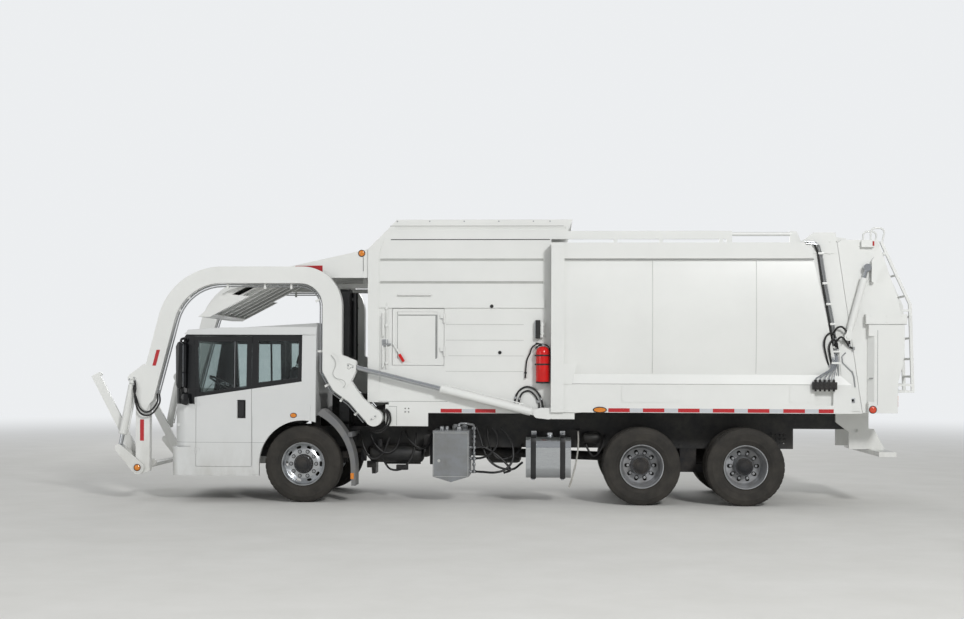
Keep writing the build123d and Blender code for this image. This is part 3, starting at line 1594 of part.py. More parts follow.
tail_top = 3480
tail_bottom = 1224
tail_outline = [
    (seal_x(tail_bottom), tail_bottom),
    (seal_x(hinge[1] - 21), hinge[1] - 21),
    (hinge[0] - 36, tail_top),
    (7520, tail_top),
    (7600, 3250),
    (7790, 2680),
    (7850, 2420),
    (7850, 2000),
    (7821, 1825),
    (7766, 1611),
    (7766, tail_bottom),
]
box_front = 7390
box_top = 2380
band_top = 2510
band_reach = 12
bevel = 74
hood_radius = 85
lamp_box_depth = 55
with BuildPart() as tailgate:
    with BuildSketch(side(tail_half)):
        add(outline(tail_outline))
    extrude(amount=2 * tail_half)
    with BuildSketch(side(tail_box_half)):
        with BuildLine():
            Polyline((box_front, tail_bottom), (box_front, box_top + 5), *[
                (x, min(z, box_top + 5)) for x, z in tail_outline[6:]
            ], close=True)
        make_face()
    extrude(amount=2 * tail_box_half)
    # the box's front edges are bevelled between its ends
    for sign in (-1, 1):
        with BuildSketch(Plane(origin=(front_axle_x, 0, 1370))):
            with BuildLine():
                Polyline(
                    (box_front - 1, sign * (tail_box_half + 1)), (box_front + bevel, sign * (tail_box_half + 1)),
                    (box_front - 1, sign * (tail_box_half - bevel)), close=True,
                )
            make_face()
        extrude(amount=855, mode=Mode.SUBTRACT)
    # a band over the box, right round the gate
    with BuildSketch(side(tail_box_half + band_reach)):
        with Locations(((box_front - 36 + 7878) / 2, (box_top + band_top) / 2)):
            Rectangle(7878 - box_front + 36, band_top - box_top)
    extrude(amount=2 * (tail_box_half + band_reach))
    # hoods over the rods' upper ends, and the boxes of the high lamps
    for y in (-tail_half + 5, tail_box_half - 5):
        with BuildSketch(side(y)):
            with Locations((tail_rod_pin[0] + 141, tail_rod_pin[1] + 65)):
                Circle(hood_radius)
            with Locations((tail_rod_pin[0] + 80, tail_rod_pin[1] - 170)):
                Circle(24)
            make_hull()
        extrude(amount=tail_box_half - tail_half)
    for y in (-tail_half + 5, tail_half + lamp_box_depth):
        with BuildSketch(side(y)):
            with Locations(((7300 + 7470) / 2, tail_top - 54)):
                RectangleRounded(170, 92, 12)
        extrude(amount=lamp_box_depth + 5)
    with BuildSketch(side(tail_half - tail_wall)):
        add(outline(tail_outline, tail_wall))
        with BuildLine():
            Polyline(
                (seal_x(1300) - 50, 1300), (seal_x(3350) - 50, 3350), (seal_x(3350) + 100, 3350),
                (seal_x(1300) + 100, 1300), close=True,
            )
        make_face()
    extrude(amount=2 * (tail_half - tail_wall), mode=Mode.SUBTRACT)
    # pockets for the body's ears
    for y in (-812, 1048):
        with BuildSketch(side(y)):
            with Locations((hinge[0] - 30, hinge[1])):
                Rectangle(210, 170)
        extrude(amount=236, mode=Mode.SUBTRACT)
    # seats for the eyes of the cylinders' rods
    for y in (-tail_half, tail_ram_y - eye_width / 2):
        with BuildSketch(side(y)):
            with Locations(tail_rod_pin):
                Circle(45)
        extrude(amount=tail_ram_y - eye_width / 2 - tail_half)
    # hinge lugs and their pins, between the body's ears
    for centre in (-930, 930):
        with BuildSketch(side(centre + 35)):
            with Locations(hinge):
                Circle(48)
            with BuildLine():
                Polyline(
                    (hinge[0], 3420), (hinge[0] + 160, 3420), (hinge[0] + 160, tail_top), (hinge[0], 3509),
                    close=True,
                )
            make_face()
        extrude(amount=70)
    for centre in (-930, 930):
        with BuildSketch(side(centre + 110)):
            with Locations(hinge):
                Circle(hinge_radius)
        extrude(amount=220)
finish(tailgate.part, "tailgate")

# Ladder behind the tailgate, with its step and the hand hoops at its top
stringer = 40
ladder_knee = 2640
ladder_rear = 8000
ladder_foot = 1490
ladder_top = 3457
ladder_left = -1150
ladder_right = -660
hoop_radius = 12
hoop_height = 3633


def ladder_x(z):
    """Middle of the ladder's stringers at height z."""
    low_lean = (min(z, ladder_knee) - ladder_foot) * 0.035
    return ladder_rear - stringer / 2 - low_lean - max(0, z - ladder_knee) * 0.46


def tail_back(z):
    """The tailgate's rear face at height z."""
    for high, low in zip(tail_outline[3:], tail_outline[4:]):
        if low[1] <= z <= high[1]:
            return high[0] + (low[0] - high[0]) * (high[1] - z) / (high[1] - low[1])


rung_heights = [3300, 3020, 2750, 2480, 2200, 1930, 1700]
hoops = [
    bent_bar(
        [
            (7433, y, tail_top + fit_gap), (7433, y, hoop_height), (7622, y, hoop_height),
            (ladder_x(3430), y, 3430),
        ],
        hoop_radius, 60,
    )
    for y in (ladder_left + stringer / 2, ladder_right - stringer / 2)
]
with BuildPart() as ladder:
    for y in (ladder_left + stringer, ladder_right):
        with BuildSketch(side(y)):
            with BuildLine():
                Polyline(
                    *[(ladder_x(z) - stringer / 2, z) for z in (ladder_top, ladder_knee, ladder_foot)],
                    *[(ladder_x(z) + stringer / 2, z) for z in (ladder_foot, ladder_knee, ladder_top)], close=True,
                )
            make_face()
            for z in (3300, 2560, 1590, ladder_foot + 15):
                start = tail_back(z - 15) + fit_gap
                with Locations(((start + ladder_x(z)) / 2, z)):
                    Rectangle(ladder_x(z) - start, 30)
        extrude(amount=stringer)
    for z in rung_heights:
        with BuildSketch(side(ladder_right)):
            with Locations((ladder_x(z), z)):
                Circle(15)
        extrude(amount=ladder_right - ladder_left)
    # the bottom step
    with BuildSketch(side(ladder_right)):
        with Locations((ladder_rear - 70, ladder_foot + 10)):
            Rectangle(136, 20)
    extrude(amount=ladder_right - ladder_left)
    add(hoops)
finish(ladder.part, "ladder")

# Rear guard under the tail, on the sills
guard_plate = 40
tow_hole = (7392, 965)
tow_hole_radius = 25
with BuildPart() as rear_guard:
    for y in (-rail_outer, rail_outer + guard_plate):
        with BuildSketch(side(y)):
            with BuildLine():
                Polyline(
                    (7120, sill_top), (7560, sill_top), (7560, 990), (7633, 987), (7782, 705), (7782, 650),
                    (7662, 650), (7580, 715), (7300, 715), (7300, 940), (7120, 1080), close=True,
                )
            make_face()
            with Locations(tow_hole):
                Circle(tow_hole_radius, mode=Mode.SUBTRACT)
        extrude(amount=guard_plate)
    with BuildSketch(side(1100)):
        with Locations((7670, 682)):
            RectangleRounded(224, 64, 10)
    extrude(amount=2200)
finish(rear_guard.part, "rear_guard")

# Tanks on the left rail
fuel_front = 2953
fuel_rear = 3547
fuel_low = 341
fuel_high = 884
fuel_inner = rail_outer + 130
fuel_outer = rail_outer + 730
fuel_straps = [3017, 3403]
strap_width = 70
strap_thick = 6
with BuildPart() as fuel_tank:
    with BuildSketch(across(fuel_front)):
        with Locations((-(fuel_inner + fuel_outer) / 2, (fuel_low + fuel_high) / 2)):
            RectangleRounded(fuel_outer - fuel_inner, fuel_high - fuel_low, 140)
    extrude(amount=fuel_rear - fuel_front)
    for x in fuel_straps:
        with BuildSketch(across(x)):
            with Locations((-(fuel_inner + fuel_outer) / 2, (fuel_low + fuel_high) / 2)):
                RectangleRounded(
                    fuel_outer - fuel_inner + 2 * strap_thick, fuel_high - fuel_low + 2 * strap_thick,
                    140 + strap_thick,
                )
            with Locations((-(rail_outer + fuel_inner + 30) / 2, 820)):
                Rectangle(fuel_inner + 30 - rail_outer, 240)
        extrude(amount=strap_width)
    # filler neck and cap
    with BuildSketch(Plane(origin=(front_axle_x + 3270, -fuel_outer + 190, fuel_high - 5))):
        Circle(38)
    extrude(amount=30)
    with BuildSketch(Plane(origin=(front_axle_x + 3270, -fuel_outer + 190, fuel_high + 20))):
        Circle(50)
    extrude(amount=28)
finish(fuel_tank.part, "fuel_tank")

filter_heads = [(2000, -800), (2120, -800)]
oil_high = 960
with BuildPart() as hydraulic_tank:
    with BuildSketch(side(-rail_outer - 60)):
        with BuildLine():
            Polyline((1720, oil_high), (2198, oil_high), (2198, 351), (1959, 278), (1720, 351), close=True)
        make_face()
    extrude(amount=620)
    with BuildSketch(side(-rail_outer)):
        with Locations((1860, 860), (2080, 860)):
            Rectangle(60, 120)
    extrude(amount=62)
    for x, y in filter_heads:
        with BuildSketch(Plane(origin=(front_axle_x + x, y, oil_high - 5))):
            Circle(45)
        extrude(amount=60)
        with BuildSketch(Plane(origin=(front_axle_x + x, y, oil_high + 50))):
            Circle(30)
        extrude(amount=25)
finish(hydraulic_tank.part, "hydraulic_tank")

# Fire extinguisher on the hopper's left side
bottle_place = (3172, -hopper_half - 95)
bottle_radius = 80
bottle_low = 1600
bottle_high = 1940
with BuildPart() as extinguisher:
    with BuildSketch(Plane(origin=(front_axle_x + bottle_place[0], bottle_place[1], bottle_low))):
        Circle(bottle_radius)
    extrude(amount=bottle_high - bottle_low)
    with BuildSketch(Plane(origin=(front_axle_x + bottle_place[0], bottle_place[1], bottle_high))):
        Circle(bottle_radius)
    extrude(amount=56, taper=45)
    with BuildSketch(Plane(origin=(front_axle_x + bottle_place[0], bottle_place[1], bottle_high + 50))):
        Circle(20)
    extrude(amount=50)
    # the two levers of the handle
    with BuildSketch(side(bottle_place[1] + 12)):
        with BuildLine():
            Polyline(
                (bottle_place[0] + 18, bottle_high + 84), (bottle_place[0] - 74, bottle_high + 66),
                (bottle_place[0] - 74, bottle_high + 78), (bottle_place[0] - 20, bottle_high + 98),
                (bottle_place[0] - 78, bottle_high + 122), (bottle_place[0] - 78, bottle_high + 134),
                (bottle_place[0] + 18, bottle_high + 116), close=True,
            )
        make_face()
    extrude(amount=24)
    with BuildSketch(side(-hopper_half)):
        with Locations((bottle_place[0], bottle_low + 100), (bottle_place[0], bottle_high - 50)):
            Rectangle(60, 30)
    extrude(amount=60)
finish(extinguisher.part, "extinguisher")

# Intake stack between cab and hopper, a flat housing with a pipe behind it
stack_front = 430
stack_rear = 560
stack_left = -820
stack_right = -500
stack_top = 2850
pipe_place = (598, -560)
with BuildPart() as intake_stack:
    with BuildSketch(across(stack_front)):
        with Locations(((stack_left + stack_right) / 2, (rail_top + 40 + stack_top) / 2)):
            RectangleRounded(stack_right - stack_left, stack_top - rail_top - 40, 60)
    extrude(amount=stack_rear - stack_front)
    with BuildSketch(Plane(origin=(front_axle_x + pipe_place[0], pipe_place[1], 1757))):
        Circle(42)
    extrude(amount=1053)
    # clamps that hold the pipe, and the foot on the rail
    for z in (1900, 2700):
        with BuildSketch(Plane(origin=(front_axle_x, 0, z))):
            with Locations(((stack_rear + pipe_place[0]) / 2 - 5, pipe_place[1])):
                Rectangle(pipe_place[0] - stack_rear + 10, 90)
        extrude(amount=40)
    with BuildSketch(Plane(origin=(front_axle_x, 0, rail_top))):
        with Locations(((stack_front + stack_rear) / 2, (stack_left - rail_outer + 80) / 2)):
            Rectangle(stack_rear - stack_front, -rail_outer + 80 - stack_left)
    extrude(amount=45)
finish(intake_stack.part, "intake_stack")

# Valve block on the body's left side, with its spool caps and ports
valve_length = 305
valve_depth = 90
with BuildPart() as valve_block:
    with BuildSketch(side(-barrel_half)):
        with Locations(valve_centre):
            Rectangle(valve_length, valve_height)
    extrude(amount=valve_depth)
    for place in range(5):
        x = front_axle_x + valve_centre[0] + (place - 2) * 58
        with BuildSketch(Plane(origin=(x, -barrel_half - valve_depth / 2, valve_centre[1] + valve_height / 2 - 2))):
            Circle(17)
        extrude(amount=34)
        with BuildSketch(Plane(origin=(x, -barrel_half - valve_depth / 2, valve_centre[1] - valve_height / 2 - 22))):
            Circle(13)
        extrude(amount=24)
finish(valve_block.part, "valve_block")

# A drain hose that hangs from the left rail, with a bare end
hose_radius = 12
hose_y = -640
hose_route = [(3650, 943), (3655, 752), (3629, 551), (3579, 331), (3529, 179)]
hose_radii = []
for before, corner, after in zip(hose_route, hose_route[1:], hose_route[2:]):
    first = Vector(corner[0] - before[0], corner[1] - before[1])
    second = Vector(after[0] - corner[0], after[1] - corner[1])
    turn = first.get_angle(second)
    hose_radii.append(0.45 * min(first.length, second.length) / tan(radians(turn / 2)))
print("hose radii", [round(r) for r in hose_radii])
with BuildPart() as drain_hose:
    with BuildLine(side(hose_y)) as route:
        FilletPolyline(*hose_route, radius=hose_radii)
    with BuildSketch(Plane(origin=route.line @ 0, z_dir=route.line % 0)):
        Circle(hose_radius)
    sweep()
hose_length = sum(edge.length for edge in route.edges())
print("hose length", round(hose_length), "volume share", drain_hose.part.volume / (pi * hose_radius**2 * hose_length))
finish(drain_hose.part, "drain_hose")

with BuildPart() as hose_clip:
    with BuildSketch(side(-rail_outer)):
        with Locations((hose_route[0][0], hose_route[0][1] + 0.4 + 7)):
            Rectangle(60, 14)
    extrude(amount=230)
finish(hose_clip.part, "hose_clip")
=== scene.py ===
import bpy
import bmesh
import json
from math import cos, pi, radians, sin, tan
from mathutils import Matrix, Vector


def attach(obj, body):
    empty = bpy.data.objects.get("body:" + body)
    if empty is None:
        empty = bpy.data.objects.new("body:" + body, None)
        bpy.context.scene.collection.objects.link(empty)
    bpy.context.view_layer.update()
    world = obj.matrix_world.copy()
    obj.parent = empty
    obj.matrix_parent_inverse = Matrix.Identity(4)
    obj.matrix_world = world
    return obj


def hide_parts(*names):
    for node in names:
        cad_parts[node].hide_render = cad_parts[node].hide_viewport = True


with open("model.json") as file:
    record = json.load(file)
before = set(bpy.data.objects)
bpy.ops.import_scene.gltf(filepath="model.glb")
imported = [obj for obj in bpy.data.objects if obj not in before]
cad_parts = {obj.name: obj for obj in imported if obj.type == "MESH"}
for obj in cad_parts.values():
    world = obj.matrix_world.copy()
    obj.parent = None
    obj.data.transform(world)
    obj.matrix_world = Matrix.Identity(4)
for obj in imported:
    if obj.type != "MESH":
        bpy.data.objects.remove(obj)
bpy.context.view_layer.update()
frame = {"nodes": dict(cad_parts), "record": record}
nodes = frame["nodes"]
frontAxle = -2.544  # metres from the origin, along X
sides = (("left", -1), ("right", 1))


# A point from millimetres aft of the front axle, to the right and up
def at(x, y, z):
    return Vector((frontAxle + x / 1000, y / 1000, z / 1000))


# sRGB hex to linear
def colour(hexText):
    parts = [int(hexText[i:i + 2], 16) / 255 for i in (1, 3, 5)]
    linear = [c / 12.92 if c <= 0.04045 else ((c + 0.055) / 1.055) ** 2.4 for c in parts]
    return (*linear, 1.0)


# One node with its settings, its linked or plain inputs and, on a ramp, its stops
def addNode(tree, kind, inputs=None, out=0, stops=None, **settings):
    node = tree.nodes.new(kind)
    for key, value in settings.items():
        setattr(node, key, value)
    for key, value in (inputs or {}).items():
        if isinstance(value, bpy.types.NodeSocket):
            tree.links.new(value, node.inputs[key])
        else:
            node.inputs[key].default_value = value
    if stops:
        points = node.color_ramp.elements
        points[0].position, points[0].color = stops[0]
        points[1].position, points[1].color = stops[-1]
        for position, value in stops[1:-1]:
            points.new(position).color = value
    return node.outputs[out] if len(node.outputs) else None


def startMaterial(name):
    material = bpy.data.materials.new(name)
    material.use_nodes = True
    material.node_tree.nodes.clear()
    place = addNode(material.node_tree, "ShaderNodeTexCoord", out="Object")
    return material, material.node_tree, place


def finishMaterial(tree, inputs):
    shader = addNode(tree, "ShaderNodeBsdfPrincipled", inputs)
    addNode(tree, "ShaderNodeOutputMaterial", {"Surface": shader})


# Soft patches of colour: size in metres from one patch to the next
def patches(tree, place, size, stops, detail=5.0, stretch=(1.0, 1.0, 1.0)):
    spread = addNode(tree, "ShaderNodeMapping", {"Vector": place, "Scale": stretch})
    fac = addNode(tree, "ShaderNodeTexNoise", {
        "Vector": spread, "Scale": 1.0 / size, "Detail": detail, "Roughness": 0.62,
    })
    return addNode(tree, "ShaderNodeValToRGB", {"Fac": fac}, stops=[(p, colour(c)) for p, c in stops])


# A fine raised grain of a given size, strength and depth in metres
def grain(tree, place, size, strength, depth):
    fac = addNode(tree, "ShaderNodeTexNoise", {"Vector": place, "Scale": 1.0 / size, "Detail": 3.0})
    return addNode(tree, "ShaderNodeBump", {"Height": fac, "Strength": strength, "Distance": depth})


# Dust thrown up from the road: full under 0.3 m, none from high up, broken into streaks
def roadDust(tree, place, high, share):
    height = addNode(tree, "ShaderNodeSeparateXYZ", {"Vector": place}, out="Z")
    fall = addNode(tree, "ShaderNodeMapRange", {
        "Value": height, "From Min": 0.3, "From Max": high, "To Min": share, "To Max": 0.0,
    })
    streaks = patches(tree, place, 0.16, [(0.3, "#3C3C3C"), (0.8, "#FFFFFF")], 6.0, (1.0, 1.0, 0.45))
    return addNode(tree, "ShaderNodeMath", {0: fall, 1: streaks}, operation="MULTIPLY")


print("materials")
bodyPaint = {
    "base": "#E2E3E0", "shade": "#DBDCD9", "dust": "#8D8779", "roughness": 0.33, "coat": 0.3, "dustTop": 1.25,
}
cabPaint = {
    "base": "#D5D6D5", "shade": "#CED0CF", "dust": "#8D8779", "roughness": 0.26, "coat": 0.5, "dustTop": 0.9,
    "bandColour": "#0D0E10", "bandLow": 1.393, "bandRise": 0.1484, "bandHigh": 2.222, "bandRear": -0.017,
    "bandFront": -1.448, "bandFrontLow": 1.300, "bandStart": 1.432, "creaseHeight": 0.792,
}


# Two-pack enamel sprayed on sheet steel: even colour, faint orange peel, dusty towards the road
def makeBodyEnamel(name, values):
    material, tree, place = startMaterial(name)
    paint = patches(tree, place, 1.1, [(0.3, values["base"]), (0.72, values["shade"])])
    dusty = roadDust(tree, place, values["dustTop"], 0.5)
    tint = addNode(
        tree, "ShaderNodeMix", {0: dusty, 6: paint, 7: colour(values["dust"])}, out=2, data_type="RGBA",
    )
    finishMaterial(tree, {
        "Base Color": tint, "Roughness": values["roughness"], "Coat Weight": values["coat"],
        "Coat Roughness": 0.12,
        "Normal": grain(tree, place, 0.006, 0.1, 0.0005),  # orange peel, drawn at 6 mm so that it shows
    })
    return material


# Cab enamel with the gloss black panel round the windows, and a grey line below the doors' middle painted as
# the shade of a pressed crease
def makeCabEnamel():
    material, tree, place = startMaterial("cabEnamel")
    apart = addNode(tree, "ShaderNodeSeparateXYZ", {"Vector": place}, out="X")
    height = apart.node.outputs["Z"]
    aft = addNode(tree, "ShaderNodeMath", {0: apart, 1: frontAxle}, operation="SUBTRACT")
    belt = addNode(tree, "ShaderNodeMath", {
        0: aft, 1: cabPaint["bandRise"],
        2: cabPaint["bandLow"] + cabPaint["bandStart"] * cabPaint["bandRise"],
    }, operation="MULTIPLY_ADD")
    corner = addNode(tree, "ShaderNodeMath", {0: aft, 1: cabPaint["bandFront"]}, operation="LESS_THAN")
    low = addNode(tree, "ShaderNodeMix", {0: corner, 2: belt, 3: cabPaint["bandFrontLow"]}, data_type="FLOAT")
    above = addNode(tree, "ShaderNodeMath", {0: height, 1: low}, operation="GREATER_THAN")
    below = addNode(tree, "ShaderNodeMath", {0: height, 1: cabPaint["bandHigh"]}, operation="LESS_THAN")
    ahead = addNode(tree, "ShaderNodeMath", {0: aft, 1: cabPaint["bandRear"]}, operation="LESS_THAN")
    both = addNode(tree, "ShaderNodeMath", {0: above, 1: below}, operation="MULTIPLY")
    band = addNode(tree, "ShaderNodeMath", {0: both, 1: ahead}, operation="MULTIPLY")
    paint = patches(tree, place, 1.1, [(0.3, cabPaint["base"]), (0.72, cabPaint["shade"])])
    dusty = roadDust(tree, place, cabPaint["dustTop"], 0.45)
    white = addNode(
        tree, "ShaderNodeMix", {0: dusty, 6: paint, 7: colour(cabPaint["dust"])}, out=2, data_type="RGBA",
    )
    # a thin grey line at the crease height: painted shade of the pressed crease
    creaseShade = addNode(
        tree, "ShaderNodeMath", {0: height, 1: cabPaint["creaseHeight"], 2: 0.0022}, operation="COMPARE",
    )
    creaseShaded = addNode(
        tree, "ShaderNodeMix", {0: creaseShade, 6: white, 7: colour("#8E9092")}, out=2, data_type="RGBA",
    )
    tint = addNode(tree, "ShaderNodeMix", {
        0: band, 6: creaseShaded, 7: colour(cabPaint["bandColour"]),
    }, out=2, data_type="RGBA")
    gloss = addNode(tree, "ShaderNodeMix", {0: band, 2: cabPaint["roughness"], 3: 0.16}, data_type="FLOAT")
    finishMaterial(tree, {
        "Base Color": tint, "Roughness": gloss, "Coat Weight": cabPaint["coat"], "Coat Roughness": 0.08,
        "Normal": grain(tree, place, 0.006, 0.08, 0.0005),
    })
    return material


# Painted, cast or moulded dark pieces with road dust in patches
def makeDusty(name, base, dust, roughness, metallic=0.0, grainSize=0.008, bump=0.25):
    material, tree, place = startMaterial(name)
    finishMaterial(tree, {
        "Base Color": patches(tree, place, 0.17, [(0.38, base), (0.85, dust)], 6.0),
        "Roughness": roughness, "Metallic": metallic, "Normal": grain(tree, place, grainSize, bump, 0.001),
    })
    return material


bodyEnamel = makeBodyEnamel("bodyEnamel", bodyPaint)
cabEnamel = makeCabEnamel()
frameEnamel = makeDusty("frameEnamel", "#17181A", "#3E3B36", 0.5, bump=0.15)  # black chassis paint
castIron = makeDusty("castIron", "#202124", "#4A453F", 0.72, 0.2, 0.022, 0.5)  # rough sand-cast skin
engineCasting = makeDusty("engineCasting", "#1A1B1E", "#3C3833", 0.68, 0.15, 0.025, 0.5)
# grained nylon
mouldedBlack = makeDusty("mouldedBlack", "#111214", "#222322", 0.45, grainSize=0.004, bump=0.3)
glossBlack = makeDusty("glossBlack", "#0C0D0F", "#17181A", 0.14, bump=0.04)  # lacquered trim
mudguardPlastic = makeDusty("mudguardPlastic", "#6A6B6D", "#7D7A74", 0.6, grainSize=0.0045, bump=0.3)
# oil-proof hose cover
hoseRubber = makeDusty("hoseRubber", "#101012", "#2A2826", 0.5, grainSize=0.0035, bump=0.3)
tankEnamel = makeDusty("tankEnamel", "#7F8285", "#6E6D69", 0.4, grainSize=0.007, bump=0.1)
# powder coat on a bottle
fireRed = makeDusty("fireRed", "#D4100E", "#B01210", 0.22, grainSize=0.006, bump=0.05)
# silver wheel enamel
rearWheelPaint = makeDusty("rearWheelPaint", "#A3A5A8", "#6E6B67", 0.4, 0.35, 0.007, 0.1)
hosePlastic = makeDusty("hosePlastic", "#C9C8C2", "#9A958A", 0.5, grainSize=0.005, bump=0.15)
# enamel over a weld bead, darker grey as painted shade of its ripple; also laid on ledges, folds and joints
# as painted shade
beadPaintedShade = makeDusty("beadPaintedShade", "#B4B5B2", "#A6A7A3", 0.4, bump=0.3)
# grey painted shade in panel joints, under lips and beside pressed steps, where shade falls
paintedShadeGrey = makeDusty("paintedShadeGrey", "#8E908F", "#7C7D7A", 0.5, bump=0.2)
# near-black painted shade for the dark void behind slots, lenses and sockets
voidShadeBlack = makeDusty("voidShadeBlack", "#08090A", "#101112", 0.08, bump=0.0)  # the void behind slots and lenses


# Vulcanised tread rubber: brown-black and matt, greyed by dust on the walls
def makeTyreRubber():
    material, tree, place = startMaterial("tyreRubber")
    rubber = patches(tree, place, 0.14, [(0.35, "#1F1D1A"), (0.75, "#33302B")], 6.0)
    dust = addNode(tree, "ShaderNodeTexNoise", {"Vector": place, "Scale": 2.4, "Detail": 3.0})
    share = addNode(
        tree, "ShaderNodeMapRange", {"Value": dust, "From Min": 0.4, "From Max": 0.75, "To Max": 0.3},
    )
    tint = addNode(
        tree, "ShaderNodeMix", {0: share, 6: rubber, 7: colour("#4A453E")}, out=2, data_type="RGBA",
    )
    finishMaterial(
        tree, {"Base Color": tint, "Roughness": 0.82, "Normal": grain(tree, place, 0.006, 0.35, 0.0015)},
    )
    return material


# Bare metal with fine lines one way, from polishing, rolling or grinding
def makeBareMetal(name, base, shade, roughness, stretch, size=0.025, bump=0.1):
    material, tree, place = startMaterial(name)
    spread = addNode(tree, "ShaderNodeMapping", {"Vector": place, "Scale": stretch})
    lines = addNode(
        tree, "ShaderNodeTexNoise", {"Vector": spread, "Scale": 1 / size, "Detail": 4.0, "Roughness": 0.7},
    )
    rough = addNode(
        tree, "ShaderNodeMapRange", {"Value": lines, "To Min": roughness * 0.7, "To Max": roughness * 1.4},
    )
    finishMaterial(tree, {
        "Base Color": addNode(
            tree, "ShaderNodeValToRGB", {"Fac": lines}, stops=[(0.3, colour(base)), (0.7, colour(shade))],
        ),
        "Roughness": rough, "Metallic": 1.0,
        "Normal": addNode(tree, "ShaderNodeBump", {"Height": lines, "Strength": bump, "Distance": 0.0005}),
    })
    return material


# Tinted laminated cab glass, thin and clear enough to see the seats
def makeGlazing():
    material, tree, place = startMaterial("tintedGlass")
    finishMaterial(tree, {
        "Base Color": patches(tree, place, 0.33, [(0.35, "#C4CFCE"), (0.75, "#CFD8D8")]),
        "Roughness": 0.02, "IOR": 1.04, "Transmission Weight": 1.0, "Coat Weight": 0.6,
        "Coat Roughness": 0.02,
    })
    return material


# Moulded polycarbonate lamp lens with fine ribs, pitch in metres
def makeLens(name, base, deep, pitch=0.008):
    material, tree, place = startMaterial(name)
    ribs = addNode(tree, "ShaderNodeTexWave", {"Vector": place, "Scale": 0.31 / pitch}, out="Fac")
    tint = addNode(
        tree, "ShaderNodeValToRGB", {"Fac": ribs}, stops=[(0.2, colour(deep)), (0.8, colour(base))],
    )
    finishMaterial(tree, {
        "Base Color": tint, "Roughness": 0.18, "Coat Weight": 0.8, "Coat Roughness": 0.05,
        "Emission Color": colour(base), "Emission Strength": 0.05,
        "Normal": addNode(tree, "ShaderNodeBump", {"Height": ribs, "Strength": 0.3, "Distance": 0.001}),
    })
    return material


# Prismatic reflective tape: 13 mm cells under a clear film
def makeTape(name, base, deep):
    material, tree, place = startMaterial(name)
    cells = addNode(tree, "ShaderNodeTexVoronoi", {
        "Vector": place, "Scale": 75.0, "Randomness": 0.15,
    }, out="Distance", feature="DISTANCE_TO_EDGE")
    finishMaterial(tree, {
        "Base Color": addNode(
            tree, "ShaderNodeValToRGB", {"Fac": cells}, stops=[(0.02, colour(deep)), (0.1, colour(base))],
        ),
        "Roughness": 0.3, "Coat Weight": 0.6, "Coat Roughness": 0.1,
    })
    return material


# Woven seat cloth, threads about 2 mm apart, drawn at 4 mm so that they show
def makeSeatCloth():
    material, tree, place = startMaterial("seatCloth")
    warp = addNode(tree, "ShaderNodeTexWave", {
        "Vector": place, "Scale": 78.0, "Distortion": 0.6,
    }, out="Fac", bands_direction="Y")
    weft = addNode(tree, "ShaderNodeTexWave", {
        "Vector": place, "Scale": 78.0, "Distortion": 0.6,
    }, out="Fac", bands_direction="Z")
    weave = addNode(tree, "ShaderNodeMath", {0: warp, 1: weft}, operation="MAXIMUM")
    finishMaterial(tree, {
        "Base Color": addNode(tree, "ShaderNodeValToRGB", {"Fac": weave}, stops=[
            (0.3, colour("#1B1C1F")), (0.9, colour("#232528")),
        ]),
        "Roughness": 0.9, "Sheen Weight": 0.4, "Sheen Roughness": 0.5,
        "Normal": addNode(tree, "ShaderNodeBump", {"Height": weave, "Strength": 0.15, "Distance": 0.001}),
    })
    return material


tyreRubber = makeTyreRubber()
wheelAlloy = makeBareMetal("forgedAlloy", "#CACCCE", "#B4B6B8", 0.3, (1.0, 1.0, 1.0), 0.017)
hardChrome = makeBareMetal("hardChrome", "#C9CBCE", "#B9BCC0", 0.12, (1.0, 6.0, 1.0), 0.033, 0.03)
polishedAluminium = makeBareMetal("polishedAluminium", "#C6C9CC", "#B2B5B8", 0.13, (0.4, 8.0, 8.0), 0.033)
zincSteel = makeBareMetal("zincSteel", "#B9BBBD", "#9C9EA0", 0.34, (2.0, 2.0, 2.0), 0.02)
glazing = makeGlazing()
amberLens = makeLens("amberLens", "#E08A1A", "#BC6410")
redLens = makeLens("redLens", "#C21A1E", "#8C0F13")
redOrangeLens = makeLens("redOrangeLens", "#D9451C", "#B03012")
clearLens = makeLens("clearLens", "#D9DEE2", "#AEB5BA", 0.02)
redTape = makeTape("redTape", "#B80F1B", "#A00C16")
silverTape = makeTape("silverTape", "#C6C9CD", "#A5A9AD")
seatCloth = makeSeatCloth()

slotFinish = {
    "cab_paint": cabEnamel, "body_paint": bodyEnamel, "frame_paint": frameEnamel, "axle_iron": castIron,
    "engine_iron": engineCasting, "tyre": tyreRubber, "wheel_alloy": wheelAlloy, "dark_wheel": rearWheelPaint,
    "glazing": glazing, "black_plastic": mouldedBlack, "guard_plastic": mudguardPlastic,
    "seat_cloth": seatCloth, "chrome_rod": hardChrome, "polished_tank": polishedAluminium,
    "grey_tank": tankEnamel, "red_paint": fireRed, "hose_plastic": hosePlastic,
}
# the slot that each finish of a drawn piece stands for; lenses and tapes have none
usualSlot = {
    bodyEnamel: "body_paint", beadPaintedShade: "body_paint", paintedShadeGrey: "body_paint",
    frameEnamel: "frame_paint", castIron: "axle_iron", engineCasting: "engine_iron",
    tyreRubber: "tyre", wheelAlloy: "wheel_alloy", zincSteel: "wheel_alloy",
    mouldedBlack: "black_plastic", hoseRubber: "black_plastic", voidShadeBlack: "black_plastic",
    glossBlack: "black_plastic", seatCloth: "seat_cloth", hardChrome: "chrome_rod",
    polishedAluminium: "polished_tank", fireRed: "red_paint",
}
for part in frame["record"]["subparts"]:
    mesh = nodes[part["node"]].data
    mesh.materials.clear()
    mesh.materials.append(slotFinish[part["material_slot"]])
nodes["valve_block"].data.materials[0] = castIron
nodes["mirrors"].data.materials[0] = glossBlack


# Camera, floor and light

